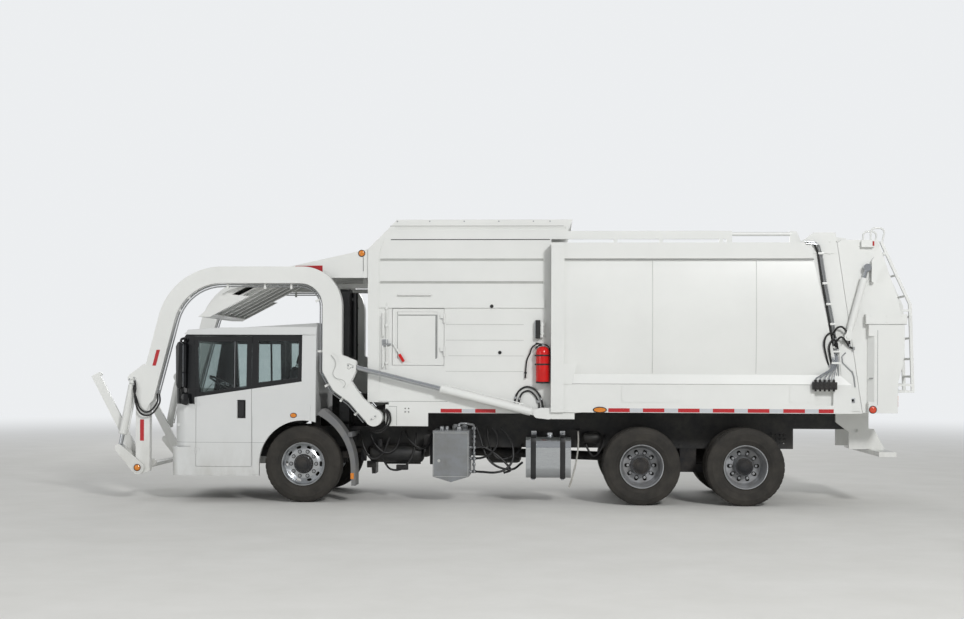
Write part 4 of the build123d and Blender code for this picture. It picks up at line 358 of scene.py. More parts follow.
print("camera, floor and light")
cameraValues = {
    "place": (0.764, -19.617, 1.822), "yaw": 2.906, "roll": 0.209, "lens": 52.33, "shiftUp": 0.0583,
}
camera = bpy.data.objects.new("camera", bpy.data.cameras.new("camera"))
bpy.context.scene.collection.objects.link(camera)
camera.matrix_world = (
    Matrix.Translation(cameraValues["place"]) @ Matrix.Rotation(radians(cameraValues["yaw"]), 4, "Z")
    @ Matrix.Rotation(pi / 2, 4, "X") @ Matrix.Rotation(radians(cameraValues["roll"]), 4, "Z")
)
camera.data.lens = cameraValues["lens"]
camera.data.sensor_width = 36.0
camera.data.shift_y = cameraValues["shiftUp"]
camera.data.clip_end = 300.0
bpy.context.scene.camera = camera

studio = {
    "floorColour": "#DDDCD8", "floorShade": "#D4D3CE", "floorHalf": 90.0, "fadeStart": 9.0, "fadeEnd": 34.0,
    "keyPower": 4100.0, "keyPlace": (11.0, -25.0, 14.5), "keySize": 3.6,
    "fillPower": 380.0, "fillPlace": (-13.0, -13.0, 5.0), "fillSize": 9.0,
    "backPower": 700.0, "backPlace": (-2.0, 15.0, 9.0), "backSize": 10.0,
    "worldColour": "#F4F6F8", "worldStrength": 0.5, "backdropStrength": 0.93,
}


def makeStudio():
    scene = bpy.context.scene
    scene.view_settings.view_transform = "Standard"
    world = bpy.data.worlds.new("studioWorld")
    scene.world = world
    world.use_nodes = True
    tree = world.node_tree
    tree.nodes.clear()
    seen = addNode(tree, "ShaderNodeLightPath", out="Is Camera Ray")
    plain = addNode(tree, "ShaderNodeMath", {
        0: seen, 1: seen.node.outputs["Is Transmission Ray"],
    }, operation="MAXIMUM")
    strength = addNode(tree, "ShaderNodeMapRange", {
        "Value": plain, "To Min": studio["worldStrength"], "To Max": studio["backdropStrength"],
    })
    sky = addNode(
        tree, "ShaderNodeBackground", {"Color": colour(studio["worldColour"]), "Strength": strength},
    )
    addNode(tree, "ShaderNodeOutputWorld", {"Surface": sky})

    half = studio["floorHalf"]
    mesh = bpy.data.meshes.new("floor")
    mesh.from_pydata([
        (-half, -half, 0), (half, -half, 0), (half, half, 0), (-half, half, 0),
    ], [], [(0, 1, 2, 3)])
    floor = bpy.data.objects.new("floor", mesh)
    scene.collection.objects.link(floor)
    material, tree, place = startMaterial("paleFloor")
    concrete = patches(tree, place, 0.8, [(0.3, studio["floorColour"]), (0.8, studio["floorShade"])])
    near = addNode(tree, "ShaderNodeBsdfPrincipled", {"Base Color": concrete, "Roughness": 0.7})
    # far from the truck the floor fades into the backdrop, for the camera alone
    away = addNode(tree, "ShaderNodeVectorMath", {0: place}, out="Value", operation="LENGTH")
    fade = addNode(tree, "ShaderNodeMapRange", {
        "Value": away, "From Min": studio["fadeStart"], "From Max": studio["fadeEnd"],
    }, interpolation_type="SMOOTHSTEP")
    seenHere = addNode(tree, "ShaderNodeLightPath", out="Is Camera Ray")
    share = addNode(tree, "ShaderNodeMath", {0: fade, 1: seenHere}, operation="MULTIPLY")
    far = addNode(tree, "ShaderNodeEmission", {
        "Color": colour(studio["worldColour"]), "Strength": studio["backdropStrength"],
    })
    blended = addNode(tree, "ShaderNodeMixShader", {0: share, 1: near, 2: far})
    addNode(tree, "ShaderNodeOutputMaterial", {"Surface": blended})
    mesh.materials.append(material)

    for name in ("key", "fill", "back"):
        data = bpy.data.lights.new(f"{name}Light", "AREA")
        data.energy = studio[f"{name}Power"]
        data.size = studio[f"{name}Size"]
        lamp = bpy.data.objects.new(f"{name}Light", data)
        scene.collection.objects.link(lamp)
        lamp.location = studio[f"{name}Place"]
        aim = Vector((0.3, 0.0, 1.6)) - lamp.location
        lamp.rotation_euler = aim.to_track_quat("-Z", "Y").to_euler()


makeStudio()


# Mesh helpers

# Stands a mesh as a piece on its body; the slot of its finish is looked up but not kept
def placePiece(name, mesh, material, body, slot=None):
    mesh.materials.clear()
    mesh.materials.append(material)
    piece = bpy.data.objects.new(name, mesh)
    bpy.context.scene.collection.objects.link(piece)
    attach(piece, body)
    slot = slot or usualSlot.get(material)
    return piece


# A finished mesh piece, with hard edges kept sharp
def newPiece(name, bm, material, body, slot=None, angle=35.0):
    mesh = bpy.data.meshes.new(name)
    bmesh.ops.remove_doubles(bm, verts=bm.verts, dist=1e-6)
    for face in bm.faces:
        face.smooth = True
    for edge in bm.edges:
        if len(edge.link_faces) == 2 and edge.calc_face_angle(0.0) > radians(angle):
            edge.smooth = False
    bm.to_mesh(mesh)
    bm.free()
    return placePiece(name, mesh, material, body, slot)


# A closed shell between two loops of the same count, its edges rounded by bevel
def addPrism(bm, first, second, bevel=0.0, segments=2):
    low = [bm.verts.new(p) for p in first]
    high = [bm.verts.new(p) for p in second]
    faces = [bm.faces.new(low), bm.faces.new(list(reversed(high)))]
    for i in range(len(low)):
        j = (i + 1) % len(low)
        faces.append(bm.faces.new((low[j], low[i], high[i], high[j])))
    bmesh.ops.recalc_face_normals(bm, faces=faces)
    if bevel:
        edges = list({e for v in low + high for e in v.link_edges})
        bmesh.ops.bevel(
            bm, geom=edges, offset=bevel, segments=segments, profile=0.7, affect="EDGES", clamp_overlap=True,
        )


# A plate drawn in side view as (x, z) points, between two distances to the right
def addPlate(bm, corners, inner, outer, bevel=0.0):
    addPrism(bm, [at(x, inner, z) for x, z in corners], [at(x, outer, z) for x, z in corners], bevel / 1000)


# A block between two corners
def addBlock(bm, low, high, bevel=0.0, segments=2):
    corners = [(low[0], low[2]), (high[0], low[2]), (high[0], high[2]), (low[0], high[2])]
    first = [at(x, low[1], z) for x, z in corners]
    second = [at(x, high[1], z) for x, z in corners]
    addPrism(bm, first, second, bevel / 1000, segments)


# Turns (radius, distance) points in mm about an axis through a centre, as a closed shell
def addLathe(bm, centre, axis, profile, segments=40):
    axis = Vector(axis).normalized()
    right = axis.orthogonal().normalized()
    up = axis.cross(right)
    rings = []
    faces = []
    for radius, along in profile:
        middle = centre + axis * along / 1000
        if radius < 0.001:
            rings.append([bm.verts.new(middle)])
        else:
            rings.append([
                bm.verts.new(middle + (
                    right * cos(2 * pi * i / segments) + up * sin(2 * pi * i / segments)
                ) * radius / 1000)
                for i in range(segments)
            ])
    for first, second in zip(rings, rings[1:]):
        for i in range(segments):
            j = (i + 1) % segments
            corners = [
                first[i % len(first)], first[j % len(first)], second[j % len(second)],
                second[i % len(second)],
            ]
            kept = list(dict.fromkeys(corners))
            if len(kept) > 2:
                faces.append(bm.faces.new(kept))
    bmesh.ops.recalc_face_normals(bm, faces=faces)


# A round tube through points in metres, its ends closed
def addTube(bm, points, radius, sideCount=10):
    rings = []
    faces = []
    normal = None
    for i, point in enumerate(points):
        way = (points[min(len(points) - 1, i + 1)] - points[max(0, i - 1)]).normalized()
        if normal is None:
            normal = way.orthogonal().normalized()
        normal = (normal - way * normal.dot(way)).normalized()
        other = way.cross(normal)
        rings.append([
            bm.verts.new(point + (
                normal * cos(2 * pi * k / sideCount) + other * sin(2 * pi * k / sideCount)
            ) * radius / 1000)
            for k in range(sideCount)
        ])
    for first, second in zip(rings, rings[1:]):
        for k in range(sideCount):
            j = (k + 1) % sideCount
            faces.append(bm.faces.new((first[k], first[j], second[j], second[k])))
    faces.append(bm.faces.new(list(reversed(rings[0]))))
    faces.append(bm.faces.new(rings[-1]))
    bmesh.ops.recalc_face_normals(bm, faces=faces)


# A path of millimetre points turned to metres, its corners on arcs of the given radius
def bentPath(points, radius, steps=6):
    points = [at(*p) for p in points]
    radii = radius if isinstance(radius, (list, tuple)) else [radius] * len(points)
    out = [points[0]]
    for i in range(1, len(points) - 1):
        corner = points[i]
        first = (points[i - 1] - corner)
        second = (points[i + 1] - corner)
        turn = first.angle(second)
        if turn > 3.1:
            out.append(corner)
            continue
        reach = min(radii[i] / 1000 / tan(turn / 2), first.length * 0.49, second.length * 0.49)
        arc = reach * tan(turn / 2)
        middle = corner + (first.normalized() + second.normalized()).normalized() * (arc / sin(turn / 2))
        start = corner + first.normalized() * reach - middle
        end = corner + second.normalized() * reach - middle
        sweep = start.angle(end)
        for k in range(steps + 1):
            t = k / steps
            out.append(middle + (start * sin((1 - t) * sweep) + end * sin(t * sweep)) / sin(sweep))
    out.append(points[-1])
    return out


# A smooth free curve through points, for hoses
def slackPath(points, steps=10):
    points = [at(*p) for p in points]
    ends = [points[0] * 2 - points[1]] + points + [points[-1] * 2 - points[-2]]
    out = []
    for a, b, c, d in zip(ends, ends[1:], ends[2:], ends[3:]):
        for k in range(steps):
            t = k / steps
            square = (a * 2 - b * 5 + c * 4 - d) * t * t
            out.append(((b * 2) + (c - a) * t + square + (b * 3 - a - c * 3 + d) * t ** 3) / 2)
    out.append(points[-1])
    return out


# A round lamp on a side: its rim and lens as (radius, distance) points about its (x, z) centre
def makeRoundLamp(name, side, sign, centre, body, lens, rimProfile, lensProfile):
    middle = at(centre[0], 0, centre[1])
    for suffix, material, profile in (("Rim", mouldedBlack, rimProfile), ("", lens, lensProfile)):
        bm = bmesh.new()
        addLathe(bm, middle, (0, sign, 0), profile, 36)
        newPiece(f"{name}{suffix}{side.title()}", bm, material, body)


# Geometry Nodes: copies of a small shape stood on points, ended as one plain mesh
def startTree(name, sizes):
    tree = bpy.data.node_groups.new(name, "GeometryNodeTree")
    tree.interface.new_socket("Geometry", in_out="INPUT", socket_type="NodeSocketGeometry")
    for label, value in sizes.items():
        socket = tree.interface.new_socket(label, in_out="INPUT", socket_type="NodeSocketFloat")
        socket.default_value = value
    tree.interface.new_socket("Geometry", in_out="OUTPUT", socket_type="NodeSocketGeometry")
    return tree, addNode(tree, "NodeGroupInput").node


def finishTree(tree, instances, material):
    whole = addNode(tree, "GeometryNodeRealizeInstances", {"Geometry": instances})
    finished = addNode(tree, "GeometryNodeSetMaterial", {"Geometry": whole, "Material": material})
    addNode(tree, "NodeGroupOutput", {"Geometry": finished})


# Runs a tree on a mesh of points and keeps its result as a piece
def growPiece(name, tree, sizes, points, material, body):
    seed = bpy.data.meshes.new(f"{name}Points")
    seed.from_pydata([tuple(p) for p in points], [], [])
    holder = bpy.data.objects.new(f"{name}Points", seed)
    bpy.context.scene.collection.objects.link(holder)
    modifier = holder.modifiers.new("grow", "NODES")
    modifier.node_group = tree
    for item in tree.interface.items_tree:
        if item.in_out == "INPUT" and item.name in sizes:
            modifier[item.identifier] = sizes[item.name]
    bpy.context.view_layer.update()
    made = bpy.data.meshes.new_from_object(holder.evaluated_get(bpy.context.evaluated_depsgraph_get()))
    holder.modifiers.remove(modifier)
    bpy.data.objects.remove(holder)
    made.name = name
    return placePiece(name, made, material, body)


# Hexagon heads with a washer, facing along an axis
def makeBoltTree(name, axis, material):
    tree, group = startTree(name, {"Head Radius": 0.012, "Head Height": 0.009, "Washer Radius": 0.016})
    washerHeight = 0.003
    head = addNode(tree, "GeometryNodeMeshCylinder", {
        "Vertices": 6, "Radius": group.outputs["Head Radius"], "Depth": group.outputs["Head Height"],
    })
    washer = addNode(tree, "GeometryNodeMeshCylinder", {
        "Vertices": 16, "Radius": group.outputs["Washer Radius"], "Depth": washerHeight,
    })
    both = addNode(tree, "GeometryNodeJoinGeometry")
    tree.links.new(washer, both.node.inputs[0])
    tree.links.new(head, both.node.inputs[0])
    turn = Vector((0, 0, 1)).rotation_difference(Vector(axis)).to_euler()
    stood = addNode(tree, "GeometryNodeInstanceOnPoints", {
        "Points": group.outputs["Geometry"], "Instance": both, "Rotation": tuple(turn),
    })
    finishTree(tree, stood, material)
    return tree


# Flat strips of tape or beads of weld: a box of given sizes on each point
def makeBlockTree(name, material):
    tree, group = startTree(name, {"Length": 0.279, "Depth": 0.002, "Height": 0.05})
    size = addNode(tree, "ShaderNodeCombineXYZ", {
        "X": group.outputs["Length"], "Y": group.outputs["Depth"], "Z": group.outputs["Height"],
    })
    block = addNode(tree, "GeometryNodeMeshCube", {"Size": size})
    stood = addNode(
        tree, "GeometryNodeInstanceOnPoints", {"Points": group.outputs["Geometry"], "Instance": block},
    )
    finishTree(tree, stood, material)
    return tree


def addBolts(name, points, axis, radius, height, body, material):
    tree = makeBoltTree(f"{name}Tree", axis, material)
    sizes = {
        "Head Radius": radius / 1000, "Head Height": 2 * height / 1000, "Washer Radius": radius * 1.35 / 1000,
    }
    return growPiece(name, tree, sizes, [at(*p) for p in points], material, body)


def addStrips(name, points, length, depth, height, body, material):
    tree = makeBlockTree(f"{name}Tree", material)
    sizes = {"Length": length / 1000, "Depth": depth / 1000, "Height": height / 1000}
    return growPiece(name, tree, sizes, [at(*p) for p in points], material, body)


# Drain hose

print("drain hose")
hoseValues = {
    "route": [(3650, 943), (3655, 752), (3629, 551), (3579, 331), (3529, 179)],
    "right": -640, "diameter": 0.024, "length": 0.779,
}


def makeDrainHose():
    data = bpy.data.curves.new("drainHose", "CURVE")
    data.dimensions = "3D"
    spline = data.splines.new("NURBS")
    points = [at(x, hoseValues["right"], z) for x, z in hoseValues["route"]]
    spline.points.add(len(points) - 1)
    for target, point in zip(spline.points, points):
        target.co = (*point, 1.0)
    spline.order_u = 3
    spline.use_endpoint_u = True
    spline.resolution_u = 16
    data.bevel_depth = hoseValues["diameter"] / 2
    data.bevel_resolution = 4
    data.use_fill_caps = True
    data.materials.append(hosePlastic)
    hose = bpy.data.objects.new("drainHose", data)
    bpy.context.scene.collection.objects.link(hose)
    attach(hose, "chassis")
    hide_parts("drain_hose")


makeDrainHose()


# Tyres: a ribbed tread with shoulder lugs and the walls' moulded steps

print("wheels")
tyreValues = {
    "radius": 510, "segments": 200, "grooveDepth": 12, "lugDepth": 6, "lugEvery": 5, "front": 1050,
    "rearOuter": 1100, "rearInner": 770,
}
rearAxles = ((1, 4470), (2, 5820))


# Half of the cross section from bead to crown: radius and distance from the middle
def tyreSection():
    wall = [
        (289, 100), (289, 112), (298, 118), (302, 117), (312, 122), (340, 131), (344, 134), (352, 134),
        (356, 133), (380, 138), (398, 139.5), (425, 139), (429, 139.6), (437, 139.4), (441, 137),
        (462, 133), (478, 128),
    ]
    top = tyreValues["radius"]
    deep = top - tyreValues["grooveDepth"]
    tread = [
        (488, 124), (498.5, 119), (503.5, 113), (506, 108), (top - 1.5, 76), (deep, 74), (deep, 65),
        (top - 0.6, 63), (top, 28), (deep, 26), (deep, 18), (top, 16), (top, 0),
    ]
    return wall, tread


def makeTyres(node, body, x, centres):
    wall, tread = tyreSection()
    half = wall + tread
    section = half + [(r, -a) for r, a in reversed(half[:-1])]
    bm = bmesh.new()
    count = tyreValues["segments"]
    for centre in centres:
        middle = at(x, centre, tyreValues["radius"])
        rings = []
        for i in range(count):
            angle = 2 * pi * i / count
            cut = 0 if i % tyreValues["lugEvery"] else tyreValues["lugDepth"]
            ring = []
            for j, (radius, offset) in enumerate(section):
                k = min(j, len(section) - 1 - j)
                r = (radius - (cut if len(wall) <= k <= len(wall) + 4 else 0)) / 1000
                ring.append(bm.verts.new(middle + Vector((r * sin(angle), offset / 1000, r * cos(angle)))))
            rings.append(ring)
        for i in range(count):
            first, second = rings[i], rings[(i + 1) % count]
            for j in range(len(section)):
                k = (j + 1) % len(section)
                bm.faces.new((first[j], first[k], second[k], second[j]))
    bmesh.ops.recalc_face_normals(bm, faces=bm.faces)
    tyres = newPiece(node.replace("_", "").replace("tyre", "Tyre"), bm, tyreRubber, body, angle=40.0)
    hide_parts(node)


for side, sign in sides:
    makeTyres(f"front_tyre_{side}", f"front_wheel_{side}", 0, [sign * tyreValues["front"]])
for side, sign in sides:
    twins = [sign * tyreValues["rearOuter"], sign * tyreValues["rearInner"]]
    for number, x in rearAxles:
        makeTyres(f"rear_tyres_{number}_{side}", f"rear_wheels_{number}_{side}", x, twins)

# Wheel nuts on their circle, hub caps and the bright rolled edge of each rim
wheelValues = {
    "nutCount": 10, "nutCircle": 167.5, "nutRadius": 16, "nutHeight": 26, "frontFace": 1125, "rearFace": 947,
}


def nutRing(x, y):
    ring = []
    for i in range(wheelValues["nutCount"]):
        angle = 2 * pi * (i + 0.5) / wheelValues["nutCount"]
        reach = wheelValues["nutCircle"]
        ring.append((x + reach * sin(angle), y, tyreValues["radius"] + reach * cos(angle)))
    return ring


def makeWheelTrim(name, body, x, sign, face, hubFace, edge):
    # dark spring washers under bright nuts
    addBolts(
        f"{name}Washers", nutRing(x, sign * (face + 2)), (0, sign, 0), wheelValues["nutRadius"] * 1.25, 4,
        body, castIron,
    )
    addBolts(
        f"{name}Nuts", nutRing(x, sign * (face + 8)), (0, sign, 0), wheelValues["nutRadius"] * 0.82,
        wheelValues["nutHeight"], body, zincSteel,
    )
    centre = at(x, 0, tyreValues["radius"])
    bm = bmesh.new()
    addLathe(bm, centre, (0, sign, 0), [
        (0, hubFace + 26), (30, hubFace + 25), (62, hubFace + 21), (66, hubFace + 12), (82, hubFace + 11),
        (88, hubFace + 4), (108, hubFace + 3), (113, hubFace - 6), (118, face + 9), (129, face + 5),
        (132, face - 4), (100, face - 4), (100, hubFace - 4), (0, hubFace - 4),
    ])
    newPiece(f"{name}Hub", bm, castIron, body)
    bm = bmesh.new()
    addLathe(bm, centre, (0, sign, 0), [
        (276, edge - 2), (276, edge + 3), (280, edge + 6), (285, edge + 6), (288, edge + 2), (288, edge - 2),
        (276, edge - 2),
    ], 96)
    newPiece(f"{name}Edge", bm, wheelAlloy, body)


for side, sign in sides:
    makeWheelTrim(
        f"frontWheel{side.title()}", f"front_wheel_{side}", 0, sign, wheelValues["frontFace"], 1168, 1170,
    )
    for number, x in rearAxles:
        makeWheelTrim(
            f"rearWheel{number}{side.title()}", f"rear_wheels_{number}_{side}", x, sign,
            wheelValues["rearFace"], 1085, 1220,
        )


# Cab

print("cab")
cabValues = {
    "handle": (-879, -763, 1110, 1359), "dividerPlace": -902, "dividerWidth": 22,
    "sideLamp": (-121, 1156), "sideLampSize": (46, 34), "lampRow": (825, 560),
}


# How far out the cab's side is at a height
def cabSide(z):
    return 1215 - max(0, z - 1500) * 45 / 700


# A strip that follows the cab's side between two heights, standing proud of it
def addSideStrip(bm, sign, x0, x1, z0, z1, proud, depth, lean=0.0):
    first = []
    second = []
    for x, z in ((x0, z0), (x1, z0 + lean), (x1, z1 + lean), (x0, z1)):
        first.append(at(x, sign * (cabSide(z) - depth), z))
        second.append(at(x, sign * (cabSide(z) + proud), z))
    addPrism(bm, first, second)


def makeDoorTrim(side, sign):
    body = f"cab_door_{side}"
    front, rear, low, high = cabValues["handle"]
    bm = bmesh.new()
    addBlock(bm, (front + 4, sign * 1188, low + 4), (rear - 4, sign * 1186, high - 4))
    addBlock(bm, (front + 24, sign * 1205, low + 26), (rear - 24, sign * 1213, high - 22), 5, 3)
    addBlock(bm, (front + 40, sign * 1188, low + 30), (rear - 40, sign * 1206, low + 60), 3)
    addBlock(bm, (front + 40, sign * 1188, high - 60), (rear - 40, sign * 1206, high - 30), 3)
    addLathe(bm, at(front + 58, sign * 1186, low + 14), (0, sign, 0), [
        (0, 8), (9, 8), (11, 5), (11, 0), (0, 0),
    ], 20)
    newPiece(f"doorHandle{side.title()}", bm, mouldedBlack, body)
    bm = bmesh.new()
    x = cabValues["dividerPlace"]
    half = cabValues["dividerWidth"] / 2
    addSideStrip(bm, sign, x - half, x + half, 1512, 2140, 1, 20, 3)
    addSideStrip(bm, sign, -1391, -758, 1441, 1452, 2, 10, 90)
    addSideStrip(bm, sign, -1404, -752, 2132, 2143, 1, 10)
    newPiece(f"doorSeals{side.title()}", bm, mouldedBlack, body)
    bm = bmesh.new()
    addSideStrip(bm, sign, x - half - 6, x - half - 1, 1516, 2134, 0, 8)
    newPiece(f"doorRun{side.title()}", bm, zincSteel, body)


# An oval in side view, as (x, z) points
def oval(x, z, wide, tall, count):
    return [(x + wide * cos(a), z + tall * sin(a)) for a in (2 * pi * k / count for k in range(count))]


def makeCabTrim(side, sign):
    bm = bmesh.new()
    x, z = cabValues["sideLamp"]
    wide, tall = cabValues["sideLampSize"]
    addPlate(bm, oval(x, z, wide, tall, 28), sign * 1224, sign * 1232)
    newPiece(f"cabLampBase{side.title()}", bm, mouldedBlack, "chassis")
    bm = bmesh.new()
    addPlate(bm, oval(x, z, wide * 0.84, tall * 0.8, 28), sign * 1231, sign * 1238, 2.5)
    newPiece(f"cabLamp{side.title()}", bm, amberLens, "chassis")
    # seals round the fixed rear side window
    bm = bmesh.new()
    addSideStrip(bm, sign, -604, -56, 1578, 1588, 1, 10, 70)
    addSideStrip(bm, sign, -604, -56, 2143, 2154, 1, 10)
    addSideStrip(bm, sign, -606, -597, 1580, 2152, 1, 10)
    addSideStrip(bm, sign, -63, -54, 1648, 2152, 1, 10)
    newPiece(f"cabSeals{side.title()}", bm, mouldedBlack, "chassis")
    # dark sealing strip under the door, and the mudguard's edge reflector
    bm = bmesh.new()
    addBlock(bm, (-1430, sign * 1190, 455), (-684, sign * 1214, 469))
    addBlock(bm, (-1440, sign * 1190, 470), (-1433, sign * 1213, 1380))
    newPiece(f"doorSillSeal{side.title()}", bm, mouldedBlack, "chassis")
    bm = bmesh.new()
    addBlock(bm, (640, sign * 1212, 318), (684, sign * 1220, 398), 4)
    newPiece(f"guardLamp{side.title()}", bm, amberLens, "chassis")


def makeFrontLamps():
    across, height = cabValues["lampRow"]
    bm = bmesh.new()
    centres = [at(-1709, y + shift, height) for y in (-across, across) for shift in (-72, 72)]
    for centre in centres:
        addLathe(bm, centre, (-1, 0, 0), [(0, 4), (20, 6), (42, 18), (60, 42), (64, 42), (64, 0), (0, 0)])
    newPiece("lampBowls", bm, polishedAluminium, "chassis")
    bm = bmesh.new()
    for centre in centres:
        addLathe(bm, centre, (-1, 0, 0), [(0, 52), (30, 50), (60, 44), (63, 44), (63, 41), (30, 46), (0, 48)])
    newPiece("lampLenses", bm, clearLens, "chassis", "glazing")
    # near-black plates behind the lamps: painted shade of the recess round them
    bm = bmesh.new()
    for sign in (-1, 1):
        addBlock(bm, (-1711, sign * across - 163, height - 73), (-1706, sign * across + 163, height + 73))
    addBlock(bm, (-1712, -545, 1185), (-1706, 545, 1205))
    newPiece("lampBacks", bm, voidShadeBlack, "chassis")
    # near-black plates behind the air slots: painted shade of the void behind them
    bm = bmesh.new()
    for z in (955, 1025, 1095, 1165):
        addBlock(bm, (-1712, -546, z - 12), (-1709, 546, z + 12))
    newPiece("airSlotBacks", bm, voidShadeBlack, "chassis")
    bm = bmesh.new()
    for sign in (-1, 1):
        addBlock(bm, (-1768, sign * 470, 420), (-1760, sign * 700, 450), 3)
        addLathe(bm, at(-1764, sign * 300, 560), (-1, 0, 0), [(0, 4), (32, 4), (36, 1), (36, -6), (0, -6)])
    newPiece("bumperLamps", bm, amberLens, "chassis")


def makeWipers():
    bm = bmesh.new()
    for y, tip in ((-620, -110), (160, 640)):
        addLathe(bm, at(-1751, y, 1330), (-1, 0, 0), [(0, 14), (14, 13), (18, 4), (18, -10), (0, -10)], 20)
        addTube(bm, [at(-1757, y, 1332), at(-1752, (y + tip) / 2, 1392), at(-1738, tip, 1460)], 6, 8)
        addTube(bm, [at(-1744, tip - 290, 1375), at(-1742, tip, 1462), at(-1738, tip + 280, 1545)], 5, 8)
    newPiece("wipers", bm, mouldedBlack, "chassis")


mirrorValues = {
    "outline": [
        (-1648, 1560), (-1652, 2060), (-1628, 2118), (-1590, 2128), (-1556, 2096), (-1560, 1540),
        (-1592, 1502), (-1632, 1512),
    ],
    "kerbOutline": [
        (-1596, 1300), (-1606, 1400), (-1580, 1440), (-1512, 1436), (-1496, 1310), (-1530, 1282),
    ],
    "upperArm": [(-1560, 1190, 2136), (-1568, 1262, 2172), (-1606, 1318, 2160), (-1606, 1326, 2090)],
    "lowerArm": [(-1560, 1205, 1440), (-1568, 1268, 1440), (-1600, 1318, 1462), (-1600, 1326, 1530)],
    "inner": 1242, "outer": 1418, "glassLow": 1530, "glassSplit": 1720, "glassHigh": 2086,
}


# Rounded housings on bent arms, with a flat and a convex glass that look aft, and a kerb mirror below
def makeMirrors():
    v = mirrorValues
    bm = bmesh.new()
    for sign in (-1, 1):
        addPlate(bm, v["outline"], sign * v["inner"], sign * v["outer"], 24)
        addPlate(bm, v["kerbOutline"], sign * 1224, sign * 1330, 16)
        for arm, bend, radius in ((v["upperArm"], 40, 17), (v["lowerArm"], 30, 15)):
            addTube(bm, bentPath([(x, sign * right, z) for x, right, z in arm], bend), radius, 12)
        addBlock(bm, (-1620, sign * 1150, 1380), (-1500, sign * 1214, 1456), 18, 3)
    mirrors = newPiece("mirrorHousings", bm, glossBlack, "chassis")
    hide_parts("mirrors")
    bm = bmesh.new()
    for sign in (-1, 1):
        y0, y1 = sign * (v["inner"] + 14), sign * (v["outer"] - 14)
        for low, high in ((v["glassLow"], v["glassSplit"] - 8), (v["glassSplit"] + 8, v["glassHigh"])):
            addBlock(bm, (-1560, y0, low), (-1553, y1, high), 5, 3)
    newPiece("mirrorGlass", bm, hardChrome, "chassis")


for side, sign in sides:
    makeDoorTrim(side, sign)
    makeCabTrim(side, sign)
makeFrontLamps()
makeWipers()
makeMirrors()


# Seats: cushions blown up by cloth on rigid pedestals

print("seats")
seatValues = {
    "rightOf": 620, "width": 440, "headWidth": 270, "edge": 14, "voxel": 0.006,
    "pressure": 4.0, "frames": 20, "cap": 0.013,  # the cloth's run, and the furthest it may swell
    "cushion": [(-640, 1452), (-250, 1442), (-250, 1512), (-640, 1525)],
    "back": [(-286, 1535), (-214, 1515), (-128, 1790), (-204, 1806)],
    "head": [(-178, 1842), (-118, 1828), (-84, 1955), (-142, 1968)],
}


# A cushion's starting block, drawn in a little so that it has room to swell
def cushionBlock(corners, y, width):
    bm = bmesh.new()
    addPlate(bm, corners, y - width / 2, y + width / 2, seatValues["edge"])
    bmesh.ops.subdivide_edges(bm, edges=bm.edges, cuts=1, use_grid_fill=True)
    return bm


def makeCushion(name, corners, y, width):
    piece = newPiece(name, cushionBlock(corners, y, width), seatCloth, "chassis", angle=180.0)
    remesh = piece.modifiers.new("remesh", "REMESH")
    remesh.mode = "VOXEL"
    remesh.voxel_size = seatValues["voxel"] * 1
    depsgraph = bpy.context.evaluated_depsgraph_get()
    fine = bpy.data.meshes.new_from_object(piece.evaluated_get(depsgraph))
    piece.modifiers.remove(remesh)
    piece.data = fine
    start = [v.co.copy() for v in fine.vertices]
    cloth = piece.modifiers.new("cloth", "CLOTH")
    cloth.settings.use_pressure = True
    cloth.settings.uniform_pressure_force = seatValues["pressure"]
    cloth.settings.effector_weights.gravity = 0.0
    for step in range(1, seatValues["frames"] + 1):
        bpy.context.scene.frame_set(step)
    swollen = bpy.data.meshes.new_from_object(piece.evaluated_get(bpy.context.evaluated_depsgraph_get()))
    piece.modifiers.remove(cloth)
    for vertex, origin in zip(swollen.vertices, start):
        move = vertex.co - origin
        if move.length > seatValues["cap"]:
            vertex.co = origin + move.normalized() * seatValues["cap"]
    piece.data = swollen
    bpy.context.scene.frame_set(1)
    for polygon in piece.data.polygons:
        polygon.use_smooth = True
    piece.data.materials.clear()
    piece.data.materials.append(seatCloth)
    soft = piece.modifiers.new("soft", "SUBSURF")
    soft.levels = 1
    soft.render_levels = 1
    return piece


def makeSeats():
    v = seatValues
    for side, sign in sides:
        y = sign * v["rightOf"]
        name = side.title()
        makeCushion(f"seatCushion{name}", v["cushion"], y, v["width"])
        makeCushion(f"seatBack{name}", v["back"], y, v["width"])
        makeCushion(f"seatHead{name}", v["head"], y, v["headWidth"])
    bm = bmesh.new()
    for sign in (-1, 1):
        y = sign * v["rightOf"]
        # pedestal, its bellows and the pan under the cushion
        addBlock(bm, (-600, y - 190, 1190), (-240, y + 190, 1230), 6)
        for k in range(5):
            z = 1232 + k * 34
            addBlock(bm, (-575 + 8 * (k % 2), y - 170, z), (-262 - 8 * (k % 2), y + 170, z + 30), 8, 3)
        addBlock(bm, (-640, y - 225, 1405), (-235, y + 225, 1436), 8)
        addPlate(bm, [
            (-236, 1430), (-206, 1424), (-74, 1972), (-86, 1976), (-200, 1500),
        ], y - 190, y + 190, 5)
        for k in (-60, 60):
            addTube(bm, [at(-196, y + k, 1800), at(-150, y + k, 1880)], 7, 8)
        # belt buckle and recliner knob at the inner side
        addBlock(bm, (-270, y - sign * 238, 1440), (-235, y - sign * 222, 1560), 5)
    newPiece("seatFrames", bm, mouldedBlack, "chassis")
    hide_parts("seats")


makeSeats()


# Lift arms and forks

